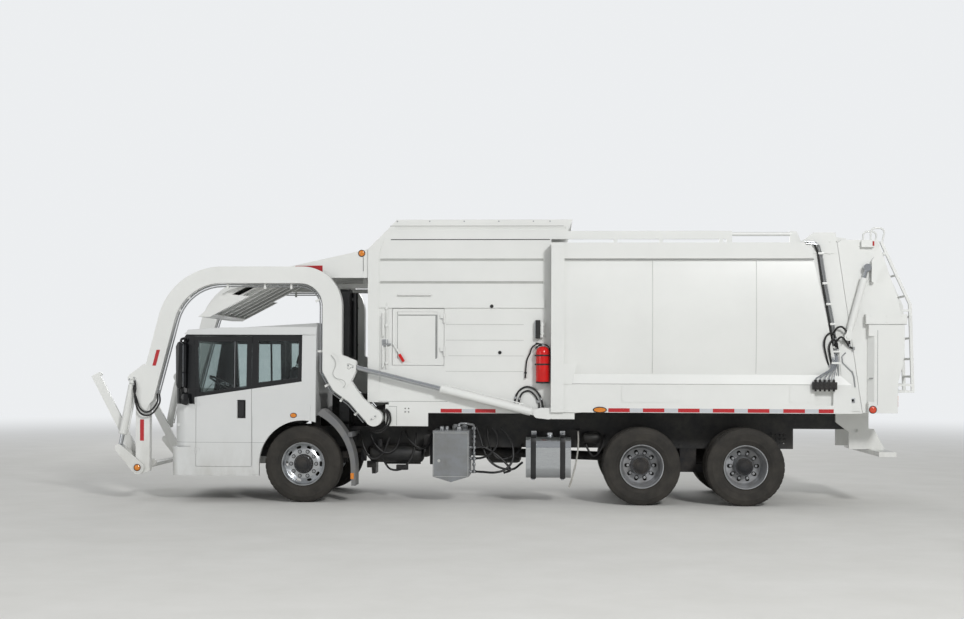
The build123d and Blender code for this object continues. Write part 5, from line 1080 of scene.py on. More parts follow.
print("lift")
liftValues = {
    "edge": [(-1991, 1420), (-1598, 2908), (260, 2908), (260, 1740), (400, 1490), (620, 1330), (830, 1090)],
    "bends": [0, 655, 310, -100, -120, 120, 0], "tubeRadius": 9, "tubeOffsets": (16, 44), "tubeRight": 1128,
    "ramRight": 1130,
    "clips": [
        (-1838, 2209, 75), (-1700, 2560, 62), (-1568, 2740, 42), (-1028, 2880, 0), (-526, 2880, 0),
        (-173, 2880, 0), (196, 2690, -62), (230, 2006, -90), (322, 1560, -62), (514, 1378, -36),
        (714, 1192, -49),
    ],
    "seam": [
        (374, 1955), (428, 1880), (428, 1800), (400, 1715), (440, 1652), (540, 1620), (566, 1570),
        (536, 1526),
    ],
    "cornerBead": [(592, 1838), (628, 1836), (640, 1796), (612, 1770), (588, 1790)],
    "shortBead": [(640, 1832), (676, 1812)],
}


# The same line moved a distance to its right, corners mitred
def insetLine(points, distance):
    moved = []
    for i, point in enumerate(points):
        here = Vector(point)
        ways = []
        if i:
            ways.append((here - Vector(points[i - 1])).normalized())
        if i < len(points) - 1:
            ways.append((Vector(points[i + 1]) - here).normalized())
        sidesteps = [Vector((way.y, -way.x)) for way in ways]
        middle = sum(sidesteps, Vector((0, 0))).normalized()
        moved.append(here + middle * distance / middle.dot(sidesteps[0]))
    return [(p.x, p.y) for p in moved]


# A small plate stood across a line in side view, turned by degrees
def addSlab(bm, place, turn, length, height, inner, outer, bevel=2.0):
    along = Vector((cos(radians(turn)), sin(radians(turn)))) * length / 2
    across = Vector((-along.y, along.x)).normalized() * height / 2
    corners = [Vector(place) + along * s + across * t for s, t in ((-1, -1), (1, -1), (1, 1), (-1, 1))]
    addPlate(bm, [(c.x, c.y) for c in corners], inner, outer, bevel)


def makeArmDress(side, sign):
    v = liftValues
    name = side.title()
    bm = bmesh.new()
    for offset in v["tubeOffsets"]:
        line = insetLine(v["edge"], offset)
        reach = [0 if not r else (abs(r) - offset if r > 0 else abs(r) + offset) for r in v["bends"]]
        points = [(x, sign * v["tubeRight"], z) for x, z in line]
        addTube(bm, bentPath(points, reach, 10), v["tubeRadius"], 12)
    newPiece(f"armTubes{name}", bm, zincSteel, "lift_arms")
    bm = bmesh.new()
    for x, z, turn in v["clips"]:
        lean = radians(turn)
        middle = (x + 12 * sin(lean), z - 12 * cos(lean))
        addSlab(bm, middle, turn, 30, 72, sign * (v["tubeRight"] - 14), sign * (v["tubeRight"] + 13), 4)
    newPiece(f"armClips{name}", bm, bodyEnamel, "lift_arms")
    # weld beads round the doubler plates and round the shoulder of the lower leg, darker grey as painted
    # shade
    bm = bmesh.new()
    for line in (v["seam"], v["cornerBead"], v["shortBead"]):
        addTube(bm, slackPath([(x, sign * 1213, z) for x, z in line], 6), 4.5, 6)
    newPiece(f"armWelds{name}", bm, beadPaintedShade, "lift_arms")
    bm = bmesh.new()
    addPlate(bm, [(-1966, 2019), (-1918, 2019), (-1974, 1807), (-2022, 1807)], sign * 1204, sign * 1207)
    newPiece(f"armTape{name}", bm, redTape, "lift_arms")
    bm = bmesh.new()
    addPlate(bm, [(-2190, 1090), (-2137, 1090), (-2137, 806), (-2190, 806)], sign * 1184, sign * 1187)
    newPiece(f"legTape{name}", bm, redTape, "lift_arms")
    # pins' keeper plates and bolts
    bm = bmesh.new()
    for x, z, turn in ((-2294, 1637, 20), (634, 1807, -20), (940, 1130, 40)):
        addSlab(bm, (x, z), turn, 84, 26, sign * 1213, sign * 1221, 3)
    newPiece(f"pinKeepers{name}", bm, bodyEnamel, "lift_arms")
    spots = ((-2324, 1626), (-2264, 1648), (604, 1818), (664, 1796), (917, 1111), (963, 1149))
    addBolts(f"pinBolts{name}", [(x, sign * 1222, z) for x, z in spots], (0, sign, 0), 8, 6, "lift_arms",
             zincSteel)


# Hoses that pass from the arm tubes to the fork cylinders, with crimped ends
def makeForkHoses(side, sign):
    bm = bmesh.new()
    # all stay beside the arm's outer face, clear of the crank plate's sweep below
    for route in (
        [
            (-1975, 1128, 1440), (-1962, 1170, 1330), (-2020, 1226, 1222), (-2110, 1236, 1190),
            (-2185, 1236, 1250), (-2225, 1236, 1370), (-2262, 1232, 1480), (-2262, 1214, 1560),
        ],
        [
            (-1948, 1128, 1440), (-1930, 1180, 1310), (-2010, 1240, 1172), (-2120, 1252, 1150),
            (-2205, 1252, 1230), (-2244, 1252, 1400), (-2232, 1248, 1500), (-2256, 1216, 1610),
        ],
    ):
        addTube(bm, slackPath([(x, sign * y, z) for x, y, z in route], 8), 12, 10)
    newPiece(f"forkHoses{side.title()}", bm, hoseRubber, "lift_arms")
    bm = bmesh.new()
    for x in (-1975, -1948):
        addLathe(bm, at(x, sign * 1128, 1452), (0.2, 0, 1), [
            (0, -30), (13, -30), (15, -26), (15, 2), (11, 4), (11, 12), (16, 13), (16, 26), (10, 28), (0, 28),
        ], 12)
    for x, z in ((-2262, 1560), (-2256, 1610)):
        addLathe(bm, at(x, sign * 1214, z - 6), (-0.15, sign * 0.1, 1), [
            (0, -26), (15, -26), (15, 12), (10, 16), (0, 16),
        ], 12)
    newPiece(f"forkHoseEnds{side.title()}", bm, zincSteel, "lift_arms")


# A tube laid along a cylinder's barrel on saddles, and its gland's nut
def makeRamTrim(name, body, base, tip, sign, radius, length, start, end, above):
    way = Vector((tip[0] - base[0], tip[1] - base[1])).normalized()
    rise = Vector((-way.y, way.x)) * above
    centre = Vector(base)

    def spot(along, away=1.0):
        p = centre + way * along + rise * away
        return (p.x, sign * liftValues["ramRight"], p.y)

    gap = radius + 15
    bm = bmesh.new()
    addTube(bm, bentPath(
        [spot(start, radius), spot(start, gap), spot(end, gap), spot(end, radius)], 14, 5,
    ), 8, 10)
    for along in (start + 60, (start + end) / 2, end - 60):
        addTube(bm, [at(*spot(along, radius + 6)), at(*spot(along + 26, radius + 6))], 16, 10)
    newPiece(f"{name}Tube", bm, bodyEnamel, body)
    bm = bmesh.new()
    axis = Vector((way.x, 0, way.y))
    mouth = at(*spot(length, 0))
    addLathe(bm, mouth, axis, [
        (radius - 14, -36), (radius + 6, -36), (radius + 8, -32), (radius + 8, -10), (radius + 4, -4),
        (radius - 10, 3), (radius - 14, 3), (radius - 14, -36),
    ], 32)
    newPiece(f"{name}Gland", bm, bodyEnamel, body)


for side, sign in sides:
    makeArmDress(side, sign)
    makeForkHoses(side, sign)
    # the lamp at the fork's pivot, on the crank plate
    makeRoundLamp("forkLamp", side, sign, (-2216, 450), "fork_frame", amberLens, [
        (0, 1221), (46, 1221), (48, 1226), (44, 1232), (40, 1228), (0, 1228),
    ], [(0, 1240), (14, 1240), (30, 1236), (39, 1229), (39, 1226), (0, 1226)])
    makeRamTrim(
        f"armRam{side.title()}", "arm_cylinders", (3109, 1196), (634, 1807), sign,
        radius=57, length=1330, start=190, end=1262, above=-1,
    )
    makeRamTrim(
        f"forkRam{side.title()}", "fork_cylinders", (-2294, 1637), (-2477, 713), sign,
        radius=52, length=760, start=90, end=690, above=1,
    )


# Hopper

print("hopper")
hopperValues = {
    "face": 1010, "seamHeights": (2370, 2161, 1953, 1746), "seamFront": 1880, "seamRear": 2916,
    "latchRod": (1091, 1776, 2660), "tapeLow": 1196, "tapeHigh": 1246, "ledges": (2915, 3215),
}


def makeHopperPanels(side, sign):
    face = sign * hopperValues["face"]
    name = side.title()
    middle = (hopperValues["seamFront"] + hopperValues["seamRear"]) / 2
    length = hopperValues["seamRear"] - hopperValues["seamFront"]
    # weld seams on the side, their darker grey painted as shade
    addStrips(
        f"hopperSeams{name}", [(middle, face + sign, z) for z in hopperValues["seamHeights"]], length, 3, 5,
        "chassis", beadPaintedShade,
    )
    # dark grey lines at panel joints and edges, their grey painted as shade
    bm = bmesh.new()
    for a, b in (
        ((979, 1342), (1901, 1344)), ((850, 1462), (968, 1462)), ((968, 1462), (968, 1352)),
        ((1120, 1275), (1226, 1275)), ((1226, 1275), (1226, 1020)), ((1000, 2480), (1000, 1600)),
    ):
        addTube(bm, [at(a[0], face, a[1]), at(b[0], face, b[1])], 2.6, 6)
    newPiece(f"hopperShadeLines{name}", bm, paintedShadeGrey, "chassis")
    # painted shade: a darker grey film on the sloped faces of the two pressed ledges
    bm = bmesh.new()
    for z in hopperValues["ledges"]:
        section = ((995, z), (1010, z + 32), (1011.5, z + 31), (996.5, z - 1))
        ends = [[at(x, sign * right, height) for right, height in section] for x in (1000, 3174)]
        addPrism(bm, *ends)
    newPiece(f"ledgeShade{name}", bm, beadPaintedShade, "chassis")
    # black strip along the hopper top: painted shade of the gap under the cover rail
    bm = bmesh.new()
    addBlock(bm, (1140, face - sign, 3494), (3262, face + sign * 3, 3504))
    newPiece(f"coverGapShade{name}", bm, mouldedBlack, "chassis")
    # round cover on the pedestal, its bolts, and the two plugged ports above
    bm = bmesh.new()
    addLathe(bm, at(1364, 0, 1226), (0, sign, 0), [
        (0, 1016), (18, 1016), (22, 1013), (44, 1013), (46, 1009), (0, 1009),
    ], 28)
    newPiece(f"pedestalCap{name}", bm, bodyEnamel, "chassis")
    bm = bmesh.new()
    for x, z, depth in ((2491, 2612, 18), (2600, 1997, 0)):
        addLathe(bm, at(x, 0, z), (0, sign, 0), [
            (0, 1012 + depth), (9, 1012 + depth), (12, 1020 + depth), (22, 1020 + depth), (24, 1009 + depth),
            (0, 1009 + depth),
        ], 20)
    newPiece(f"portPlugs{name}", bm, castIron, "chassis")
    addBolts(f"pedestalBolts{name}", [
        (1364 + 33 * cos(a), sign * 1014, 1226 + 33 * sin(a)) for a in (pi / 4 + k * pi / 2 for k in range(4))
    ], (0, sign, 0), 6, 5, "chassis", castIron)
    bm = bmesh.new()
    low, high = hopperValues["tapeLow"], hopperValues["tapeHigh"]
    for start, end in ((1814, 2096), (2275, 2546)):
        addBlock(bm, (start, face, low), (end, face + sign * 2, high))
    newPiece(f"hopperTapeRed{name}", bm, redTape, "chassis")
    bm = bmesh.new()
    addBlock(bm, (2098, face, low), (2273, face + sign * 2, high))
    newPiece(f"hopperTapeSilver{name}", bm, silverTape, "chassis")


# Bar latch of the side door, its guides, hand loops and the lever's red grip
def makeDoorLatch():
    face = -hopperValues["face"]
    bm = bmesh.new()
    x, low, high = hopperValues["latchRod"]
    addTube(bm, [at(x, face - 20, low), at(x, face - 20, high)], 8, 10)
    for z in (low + 60, (low + high) / 2 + 120, high - 90):
        addBlock(bm, (x - 18, face, z), (x + 18, face - 32, z + 34), 5)
    for low, high in ((2194, 2479), (1786, 2051)):
        addTube(bm, bentPath([
            (1050, face, high - 34), (1050, face - 30, high - 40), (1050, face - 30, low + 22),
            (1050, face, low + 16),
        ], 16), 8, 10)
    newPiece("latchRods", bm, bodyEnamel, "chassis")
    bm = bmesh.new()
    addBlock(bm, (1030, face, 2076), (1108, face - 26, 2168), 6)
    addLathe(bm, at(1062, face - 24, 2128), (0, -1, 0), [(0, 14), (16, 14), (19, 10), (19, 0), (0, 0)], 20)
    addBlock(bm, (1084, face - 8, 2092), (1150, face - 34, 2116), 4)
    newPiece("latchBox", bm, zincSteel, "chassis")
    bm = bmesh.new()
    addSlab(bm, (1290, 1922), -59, 118, 40, -1014, -1042, 9)
    newPiece("leverGrip", bm, fireRed, "hopper_door")
    # door leaf: its pressed inner border, drawn as a grey line of painted shade, and the hinge bolts
    bm = bmesh.new()
    border = [(1232, 2210), (1232, 1868), (1800, 1868), (1800, 2552), (1232, 2552), (1232, 2211)]
    addTube(bm, bentPath([(x, -993, z) for x, z in border], 22), 3.2, 6)
    # grey strips at the hinge side and the top paint the shade cast by the pressed step
    addBlock(bm, (1738, -991, 1880), (1764, -994, 2500), 1)
    addBlock(bm, (1240, -991, 2487), (1740, -994, 2500), 1)
    newPiece("doorPressShade", bm, paintedShadeGrey, "hopper_door")
    addBolts("doorHingeBolts", [(x, -1016, z) for z in (2010, 2450) for x in (1822, 1838)], (0, -1, 0), 6, 4,
             "hopper_door", zincSteel)


# Work lamp on its bracket at the hopper's rear edge
def makeWorkLamp(side, sign):
    bm = bmesh.new()
    addBlock(bm, (3072, sign * 1030, 2184), (3138, sign * 1092, 2428), 8, 3)
    newPiece(f"workLamp{side.title()}", bm, mouldedBlack, "chassis")
    bm = bmesh.new()
    addBlock(bm, (3138, sign * 1020, 2196), (3176, sign * 1074, 2404), 5)
    for z in (2230, 2350):
        addBlock(bm, (3130, sign * 1009, z), (3192, sign * 1040, z + 34), 4)
        addLathe(
            bm, at(3150, sign * 1072, z + 17), (0, sign, 0), [(0, 12), (9, 12), (11, 9), (11, 0), (0, 0)], 6,
        )
    newPiece(f"workLampBracket{side.title()}", bm, bodyEnamel, "chassis")
    bm = bmesh.new()
    addBlock(bm, (3067, sign * 1038, 2196), (3073, sign * 1086, 2416), 2)
    newPiece(f"workLampLens{side.title()}", bm, clearLens, "chassis", "glazing")


bottleValues = {
    "place": (3172, -1105), "bands": (1960, 1842), "radius": 92,
    "outline": [
        (0, 1604), (60, 1602), (78, 1600), (86, 1606), (92, 1620), (92, 1992), (88, 2022), (76, 2048),
        (52, 2068), (26, 2078), (0, 2080),
    ],
}


# A deep-drawn bottle with domed ends, black bands, squeeze levers, gauge and a hose to its horn
def makeExtinguisher():
    x, y = bottleValues["place"]
    r = bottleValues["radius"]
    bm = bmesh.new()
    addLathe(bm, at(x, y, 0), (0, 0, 1), bottleValues["outline"], 48)
    bottle = newPiece("fireBottle", bm, fireRed, "chassis")
    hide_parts("extinguisher")
    bm = bmesh.new()
    for z in bottleValues["bands"]:
        addLathe(bm, at(x, y, z), (0, 0, 1), [
            (r - 3, -10), (r + 4, -10), (r + 4, 10), (r - 3, 10), (r - 3, -10),
        ], 40)
        addBlock(bm, (x - 108, y + 8, z - 10), (x - 90, y - 14, z + 10), 3)
    addPlate(bm, [
        (x - 100, 2118), (x - 10, 2096), (x + 30, 2096), (x + 30, 2112), (x - 6, 2116), (x - 96, 2134),
    ], y - 13, y + 13, 3)
    addPlate(bm, [(x - 92, 2070), (x - 14, 2084), (x - 14, 2098), (x - 94, 2084)], y - 12, y + 12, 3)
    addTube(bm, slackPath(
        [(x + 96, y, 1990), (x + 84, y, 2060), (x + 30, y, 2104), (x - 40, y, 2100), (x - 98, y, 2050)], 6,
    ), 8, 8)
    addLathe(bm, at(x, y, 1600), (0, 0, 1), [
        (60, -8), (84, -8), (93, 0), (94, 14), (86, 14), (60, 2), (60, -8),
    ], 36)
    newPiece("bottleBands", bm, mouldedBlack, "chassis")
    bm = bmesh.new()
    addLathe(bm, at(x, y, 0), (0, 0, 1), [
        (0, 2108), (18, 2108), (20, 2092), (16, 2088), (16, 2080), (24, 2074), (0, 2070),
    ], 24)
    addLathe(bm, at(x + 6, y, 2092), (0, -1, 0), [(0, 30), (14, 30), (17, 26), (17, 10), (0, 10)], 20)
    newPiece("bottleValve", bm, zincSteel, "chassis")
    bm = bmesh.new()
    addTube(bm, slackPath([
        (x - 10, y, 2092), (x - 70, y + 14, 2112), (x - 140, y + 44, 2070), (3000, -1050, 1985),
        (2962, -1040, 1900), (2948, -1036, 1800), (2944, -1036, 1735),
    ], 8), 10, 10)
    newPiece("bottleHose", bm, hoseRubber, "chassis")
    bm = bmesh.new()
    addLathe(bm, at(2944, -1036, 1735), (-0.05, 0, -1), [
        (0, -8), (13, -8), (14, 0), (9, 10), (12, 64), (16, 74), (0, 74),
    ], 16)
    addBlock(bm, (2926, -1010, 1720), (2962, -1042, 1738), 4)
    newPiece("bottleHorn", bm, mouldedBlack, "chassis")
    bm = bmesh.new()
    for z in (1700, 1900):
        addBlock(bm, (x - 50, -1009, z), (x + 50, -1022, z + 60), 4)
    newPiece("bottleBracket", bm, bodyEnamel, "chassis")


# Hose loops that feed the arm cylinders, behind the cylinders' base
def makeRamHoses(side, sign):
    bm = bmesh.new()
    for route in (
        [(2800, 1262), (2812, 1400), (2868, 1500), (2968, 1545), (3075, 1500), (3150, 1390), (3176, 1270)],
        [(2868, 1270), (2860, 1370), (2905, 1462), (2990, 1490), (3070, 1430), (3120, 1330), (3128, 1262)],
    ):
        addTube(bm, slackPath(
            [(x, sign * (1030 if k else 1018), z) for k, (x, z) in enumerate(route)], 8,
        ), 13, 10)
    newPiece(f"ramHoses{side.title()}", bm, hoseRubber, "chassis")
    bm = bmesh.new()
    for x, z, lean in ((2812, 1400, 0.2), (2868, 1385, -0.1), (3150, 1385, -0.4), (3108, 1350, -0.4)):
        addLathe(bm, at(x, sign * 1030, z), (lean, 0, 1), [
            (14, -16), (17, -14), (17, 14), (14, 16), (12, 0), (14, -16),
        ], 14)
    addBlock(bm, (2786, sign * 1010, 1240), (2884, sign * 1040, 1274), 5)
    newPiece(f"ramHoseEnds{side.title()}", bm, zincSteel, "chassis")


# Loops from the arm tubes to the chassis at the arm pivot
def makePivotHoses(side, sign):
    bm = bmesh.new()
    for shift, drop in ((0, 0), (34, 26)):
        addTube(bm, slackPath([
            (1052 + shift, sign * 1022, 1240), (1100 + shift, sign * 1026, 1180),
            (1106 + shift, sign * 1030, 1090 - drop), (1060, sign * 1030, 985 - drop),
            (970, sign * 1018, 948 - drop), (880, sign * 980, 980 - drop),
        ], 8), 13, 10)
    newPiece(f"pivotHoses{side.title()}", bm, hoseRubber, "chassis")


for side, sign in sides:
    makeHopperPanels(side, sign)
    makeWorkLamp(side, sign)
    makeRamHoses(side, sign)
    makePivotHoses(side, sign)
makeDoorLatch()
makeExtinguisher()


# Cab shield, sliding cover and intake stack

def makeShieldTrim():
    lamp = at(747, 0, 3318)
    for side, sign in sides:
        bm = bmesh.new()
        addLathe(bm, lamp, (0, sign, 0), [
            (0, 988), (46, 988), (48, 994), (44, 1000), (38, 997), (0, 997),
        ], 32)
        addTube(bm, [at(768, sign * 993, 3272), at(769, sign * 993, 3080)], 3, 6)
        newPiece(f"shieldLampRim{side.title()}", bm, mouldedBlack, "chassis")
        bm = bmesh.new()
        addLathe(bm, lamp, (0, sign, 0), [
            (0, 1006), (14, 1006), (30, 1003), (38, 998), (38, 995), (0, 995),
        ], 32)
        newPiece(f"shieldLamp{side.title()}", bm, amberLens, "chassis")
        bm = bmesh.new()
        addPlate(bm, [(-146, 3150), (221, 3156), (221, 3050), (-146, 3050)], sign * 989, sign * 992)
        newPiece(f"shieldTape{side.title()}", bm, redTape, "chassis")


def makeCoverTrim():
    for side, sign in sides:
        points = [(x, sign * 1011, 3742) for x in (1228, 1660, 2120, 2580, 3040, 3260)]
        addBolts(f"coverBolts{side.title()}", points, (0, sign, 0), 7, 4, "sliding_cover", zincSteel)
        # fold line along the cover's side, darker grey painted as its shade
        bm = bmesh.new()
        addTube(bm, [at(1130, sign * 1009, 3680), at(3440, sign * 1009, 3680)], 5, 6)
        newPiece(f"coverFold{side.title()}", bm, beadPaintedShade, "sliding_cover")


def makeStackTrim():
    bm = bmesh.new()
    for k in range(14):
        z = 1180 + k * 58
        addBlock(bm, (436, -822, z), (554, -817, z + 20), 2)
    for z in (1500, 2100, 2600):
        addLathe(bm, at(598, -560, z), (0, 0, 1), [(41, -14), (46, -14), (46, 14), (41, 14), (41, -14)], 24)
    newPiece("stackGrille", bm, mouldedBlack, "chassis")


makeShieldTrim()
makeCoverTrim()
makeStackTrim()


# Body

print("body")
bodyValues = {
    "face": 1228, "tapeHeight": 1247, "tapeTall": 50, "redLength": 279,
    "redStarts": (4031, 4481, 4938, 5388, 5840, 6297, 6753), "tapeEnd": 6946,
    "weldSeams": (4604, 5949), "barrelLow": 1717, "barrelHigh": 3219, "lamp": (3920, 1250),
}


def makeBodyTapes(side, sign):
    v = bodyValues
    name = side.title()
    face = sign * (v["face"] + 1)
    starts = v["redStarts"]
    addStrips(f"bodyTapeRed{name}", [(s + v["redLength"] / 2, face, v["tapeHeight"]) for s in starts[:-1]],
              v["redLength"], 2, v["tapeTall"], "chassis", redTape)
    low, high = v["tapeHeight"] - v["tapeTall"] / 2, v["tapeHeight"] + v["tapeTall"] / 2
    bm = bmesh.new()
    addBlock(bm, (starts[-1], face - sign, low), (v["tapeEnd"], face + sign, high))
    newPiece(f"bodyTapeLast{name}", bm, redTape, "chassis")
    bm = bmesh.new()
    for s, after in zip(starts, starts[1:]):
        addBlock(bm, (s + v["redLength"] + 2, face - sign, low), (after - 2, face + sign, high))
    newPiece(f"bodyTapeSilver{name}", bm, silverTape, "chassis")
    # oval marker lamp with its rubber grommet
    bm = bmesh.new()
    x, z = v["lamp"]
    addPlate(bm, oval(x, z, 92, 41, 40), sign * 1227, sign * 1238, 3)
    newPiece(f"bodyLampRim{name}", bm, mouldedBlack, "chassis")
    bm = bmesh.new()
    addPlate(bm, oval(x, z, 78, 29, 40), sign * 1237, sign * 1245, 5)
    newPiece(f"bodyLamp{name}", bm, amberLens, "chassis")


# Half width of the barrel at a height: the arc through the points measured on the model
def barrelSide(z):
    t = (z - bodyValues["barrelLow"]) / (bodyValues["barrelHigh"] - bodyValues["barrelLow"])
    return 1181 + 47 * sin(pi * min(1, max(0, t))) ** 0.85


# The sheet joints down the barrel side, following its curve, in darker grey painted as their shade, and bolts
# along the skirt
def makeBodySeams(side, sign):
    v = bodyValues
    bm = bmesh.new()
    for x in v["weldSeams"]:
        points = []
        for k in range(17):
            z = v["barrelLow"] + 12 + (v["barrelHigh"] - v["barrelLow"] - 24) * k / 16
            points.append(at(x, sign * barrelSide(z), z))
        addTube(bm, points, 3, 6)
    for end, right, z in ((6960, 1229, 1590), (6700, 1196, 3222)):
        addTube(bm, [at(3460, sign * right, z), at(end, sign * right, z)], 4, 6)
    newPiece(f"barrelSeams{side.title()}", bm, beadPaintedShade, "chassis")
    points = [(3399, sign * 1251, 1376), (3551, sign * 1229, 1376), (3700, sign * 1229, 1376)]
    points += [(x, sign * 1251, z) for x in (3310, 3400) for z in (3300, 3380)]
    for x0, x1 in ((4202, 4971), (6380, 6640)):
        points += [(x, sign * 1234, z) for x in (x0 + 26, x1 - 26) for z in (1376, 1556)]
    addBolts(f"skirtBolts{side.title()}", points, (0, sign, 0), 10, 6, "chassis", bodyEnamel)
    # grey strip under the top beam's lip: painted shade where the lip overhangs
    bm = bmesh.new()
    addBlock(bm, (3465, sign * 1209, 3214), (6690, sign * 1213, 3221))
    newPiece(f"beamLipShade{side.title()}", bm, paintedShadeGrey, "chassis")


for side, sign in sides:
    makeBodyTapes(side, sign)
    makeBodySeams(side, sign)


# Valve block: sections with caps and the steel tubes that rise from them

print("rear")
valveValues = {"centre": (6820, 1576), "pitch": 58, "sections": 5, "face": 1323}


def makeValves():
    x0, z0 = valveValues["centre"]
    bm = bmesh.new()
    for k in range(valveValues["sections"]):
        x = x0 + (k - valveValues["sections"] // 2) * valveValues["pitch"]
        addBlock(bm, (x - 24, -1300, z0 - 42), (x + 24, -valveValues["face"], z0 + 42), 5)
        for z in (z0 - 22, z0 + 22):
            addLathe(bm, at(x, -1320, z), (0, -1, 0), [(0, 12), (10, 12), (13, 8), (13, 0), (0, 0)], 6)
    newPiece("valveFaces", bm, castIron, "chassis")
    bm = bmesh.new()
    for k in range(valveValues["sections"]):
        x = x0 + (k - valveValues["sections"] // 2) * valveValues["pitch"]
        top = 1872 - k * 14
        addLathe(bm, at(x, -1272, z0 + 74), (0, 0, 1), [
            (0, -20), (15, -20), (15, 4), (12, 6), (12, 22), (0, 22),
        ], 6)
        addTube(bm, bentPath([
            (x, -1272, z0 + 90), (x + 4, -1272, 1676 + k * 4), (6905 + k * 17, -1215 - k * 3, 1790 + k * 6),
            (6932 + k * 17, -1200, top + 36), (6920 + k * 18, -1196, top + 150),
        ], 34, 6), 8, 10)
    newPiece("valveTubes", bm, hardChrome, "chassis")
    bm = bmesh.new()
    for low, high in (((6920, -1163, 1860), (7030, -1216, 1884)), ((6940, -1163, 2010), (7040, -1206, 2034))):
        addBlock(bm, low, high, 4)
    newPiece("tubeClamps", bm, bodyEnamel, "chassis")


# Steel pipes and hoses down the rear frame's front edge
def makeRearPipes(side, sign):
    name = side.title()
    bm = bmesh.new()
    for shift, right in ((0, 1176), (26, 1178)):
        addTube(bm, bentPath([
            (6560 + shift, sign * (right + 44), 3452 - shift),
            (6722 + shift, sign * (right + 44), 3440 - shift),
            (6766 + shift, sign * right, 3300), (6830 + shift, sign * right, 2900),
            (6926 + shift, sign * right, 2400), (6984 + shift, sign * right, 1900),
            (6990 + shift, sign * right, 1700),
        ], 50, 6), 9, 10)
    newPiece(f"rearPipes{name}", bm, zincSteel, "chassis")
    bm = bmesh.new()
    for x, z in ((6782, 3300), (6838, 2910), (6886, 2640), (6938, 2380), (6978, 2080)):
        addBlock(bm, (x - 34, sign * 1150, z - 14), (x + 40, sign * 1194, z + 14), 4)
    newPiece(f"rearPipeClips{name}", bm, bodyEnamel, "chassis")
    bm = bmesh.new()
    addTube(bm, bentPath([
        (6700, sign * 1190, 3420), (6748, sign * 1164, 3300), (6806, sign * 1164, 2900),
        (6900, sign * 1164, 2400), (6952, sign * 1164, 1990), (6940, sign * 1180, 1800),
    ], 60, 6), 13, 10)
    newPiece(f"rearDark{name}", bm, hoseRubber, "chassis")


# Hose loops by the tail cylinder's foot
def makeRearHoses(side, sign):
    bm = bmesh.new()
    for route in (
        [
            (6890, 1184, 1830), (6850, 1220, 1960), (6818, 1244, 2120), (6850, 1250, 2230),
            (6920, 1240, 2262), (6968, 1216, 2190), (6975, 1200, 2080),
        ],
        [
            (6925, 1190, 1830), (6896, 1226, 1980), (6884, 1240, 2090), (6925, 1244, 2170),
            (6975, 1230, 2150), (7000, 1206, 2060),
        ],
        [
            (6950, 1190, 2270), (6990, 1222, 2330), (7050, 1232, 2340), (7106, 1222, 2280),
            (7150, 1190, 2160), (7152, 1176, 2080),
        ],
        [
            (6960, 1190, 2100), (6990, 1224, 2170), (7040, 1234, 2210), (7096, 1222, 2160),
            (7150, 1190, 2090), (7210, 1182, 2062),
        ],
    ):
        addTube(bm, slackPath([(x, sign * y, z) for x, y, z in route], 8), 13, 10)
    newPiece(f"rearHoses{side.title()}", bm, hoseRubber, "chassis")
    bm = bmesh.new()
    for x, y, z in (
        (6968, 1214, 2192), (7150, 1188, 2100), (6889, 1186, 1836), (6926, 1192, 1836), (7206, 1182, 2062),
    ):
        addLathe(bm, at(x, sign * y, z), (-0.1, 0, 1), [
            (13, -20), (16, -18), (16, 18), (13, 20), (11, 0), (13, -20),
        ], 12)
    newPiece(f"rearHoseEnds{side.title()}", bm, zincSteel, "chassis")


# Rear frame's locking gear: the chain link, the rod down the lip and the square socket
def makeRearFrameTrim(side, sign):
    name = side.title()
    bm = bmesh.new()
    addBlock(bm, (7166, sign * 1161, 1356), (7232, sign * 1172, 1420), 3)
    addTube(bm, bentPath([
        (7110, sign * 1170, 2010), (7060, sign * 1174, 1960), (7070, sign * 1174, 1880),
        (7130, sign * 1174, 1820), (7190, sign * 1172, 1760),
    ], 26, 5), 7, 8)
    addTube(bm, [at(7190, sign * 1170, 1768), at(7216, sign * 1170, 1690), at(7232, sign * 1166, 1560)], 9, 8)
    newPiece(f"lockRod{name}", bm, zincSteel, "chassis")
    # near-black inset painted as the shade inside the square socket
    bm = bmesh.new()
    addBlock(bm, (7182, sign * 1171, 1372), (7216, sign * 1174, 1404))
    newPiece(f"lockSocketShade{name}", bm, voidShadeBlack, "chassis")
    bm = bmesh.new()
    addLathe(
        bm, at(6900, 0, 3300), (0, sign, 0), [(0, 1164), (9, 1164), (12, 1160), (12, 1152), (0, 1152)], 16,
    )
    for x, z in ((6900, 3452), (6996, 3460), (7096, 1290), (6996, 1290)):
        addLathe(bm, at(x, 0, z), (0, sign, 0), [(0, 1170), (10, 1170), (12, 1166), (12, 1148), (0, 1148)], 6)
    newPiece(f"frameBolts{name}", bm, bodyEnamel, "chassis")


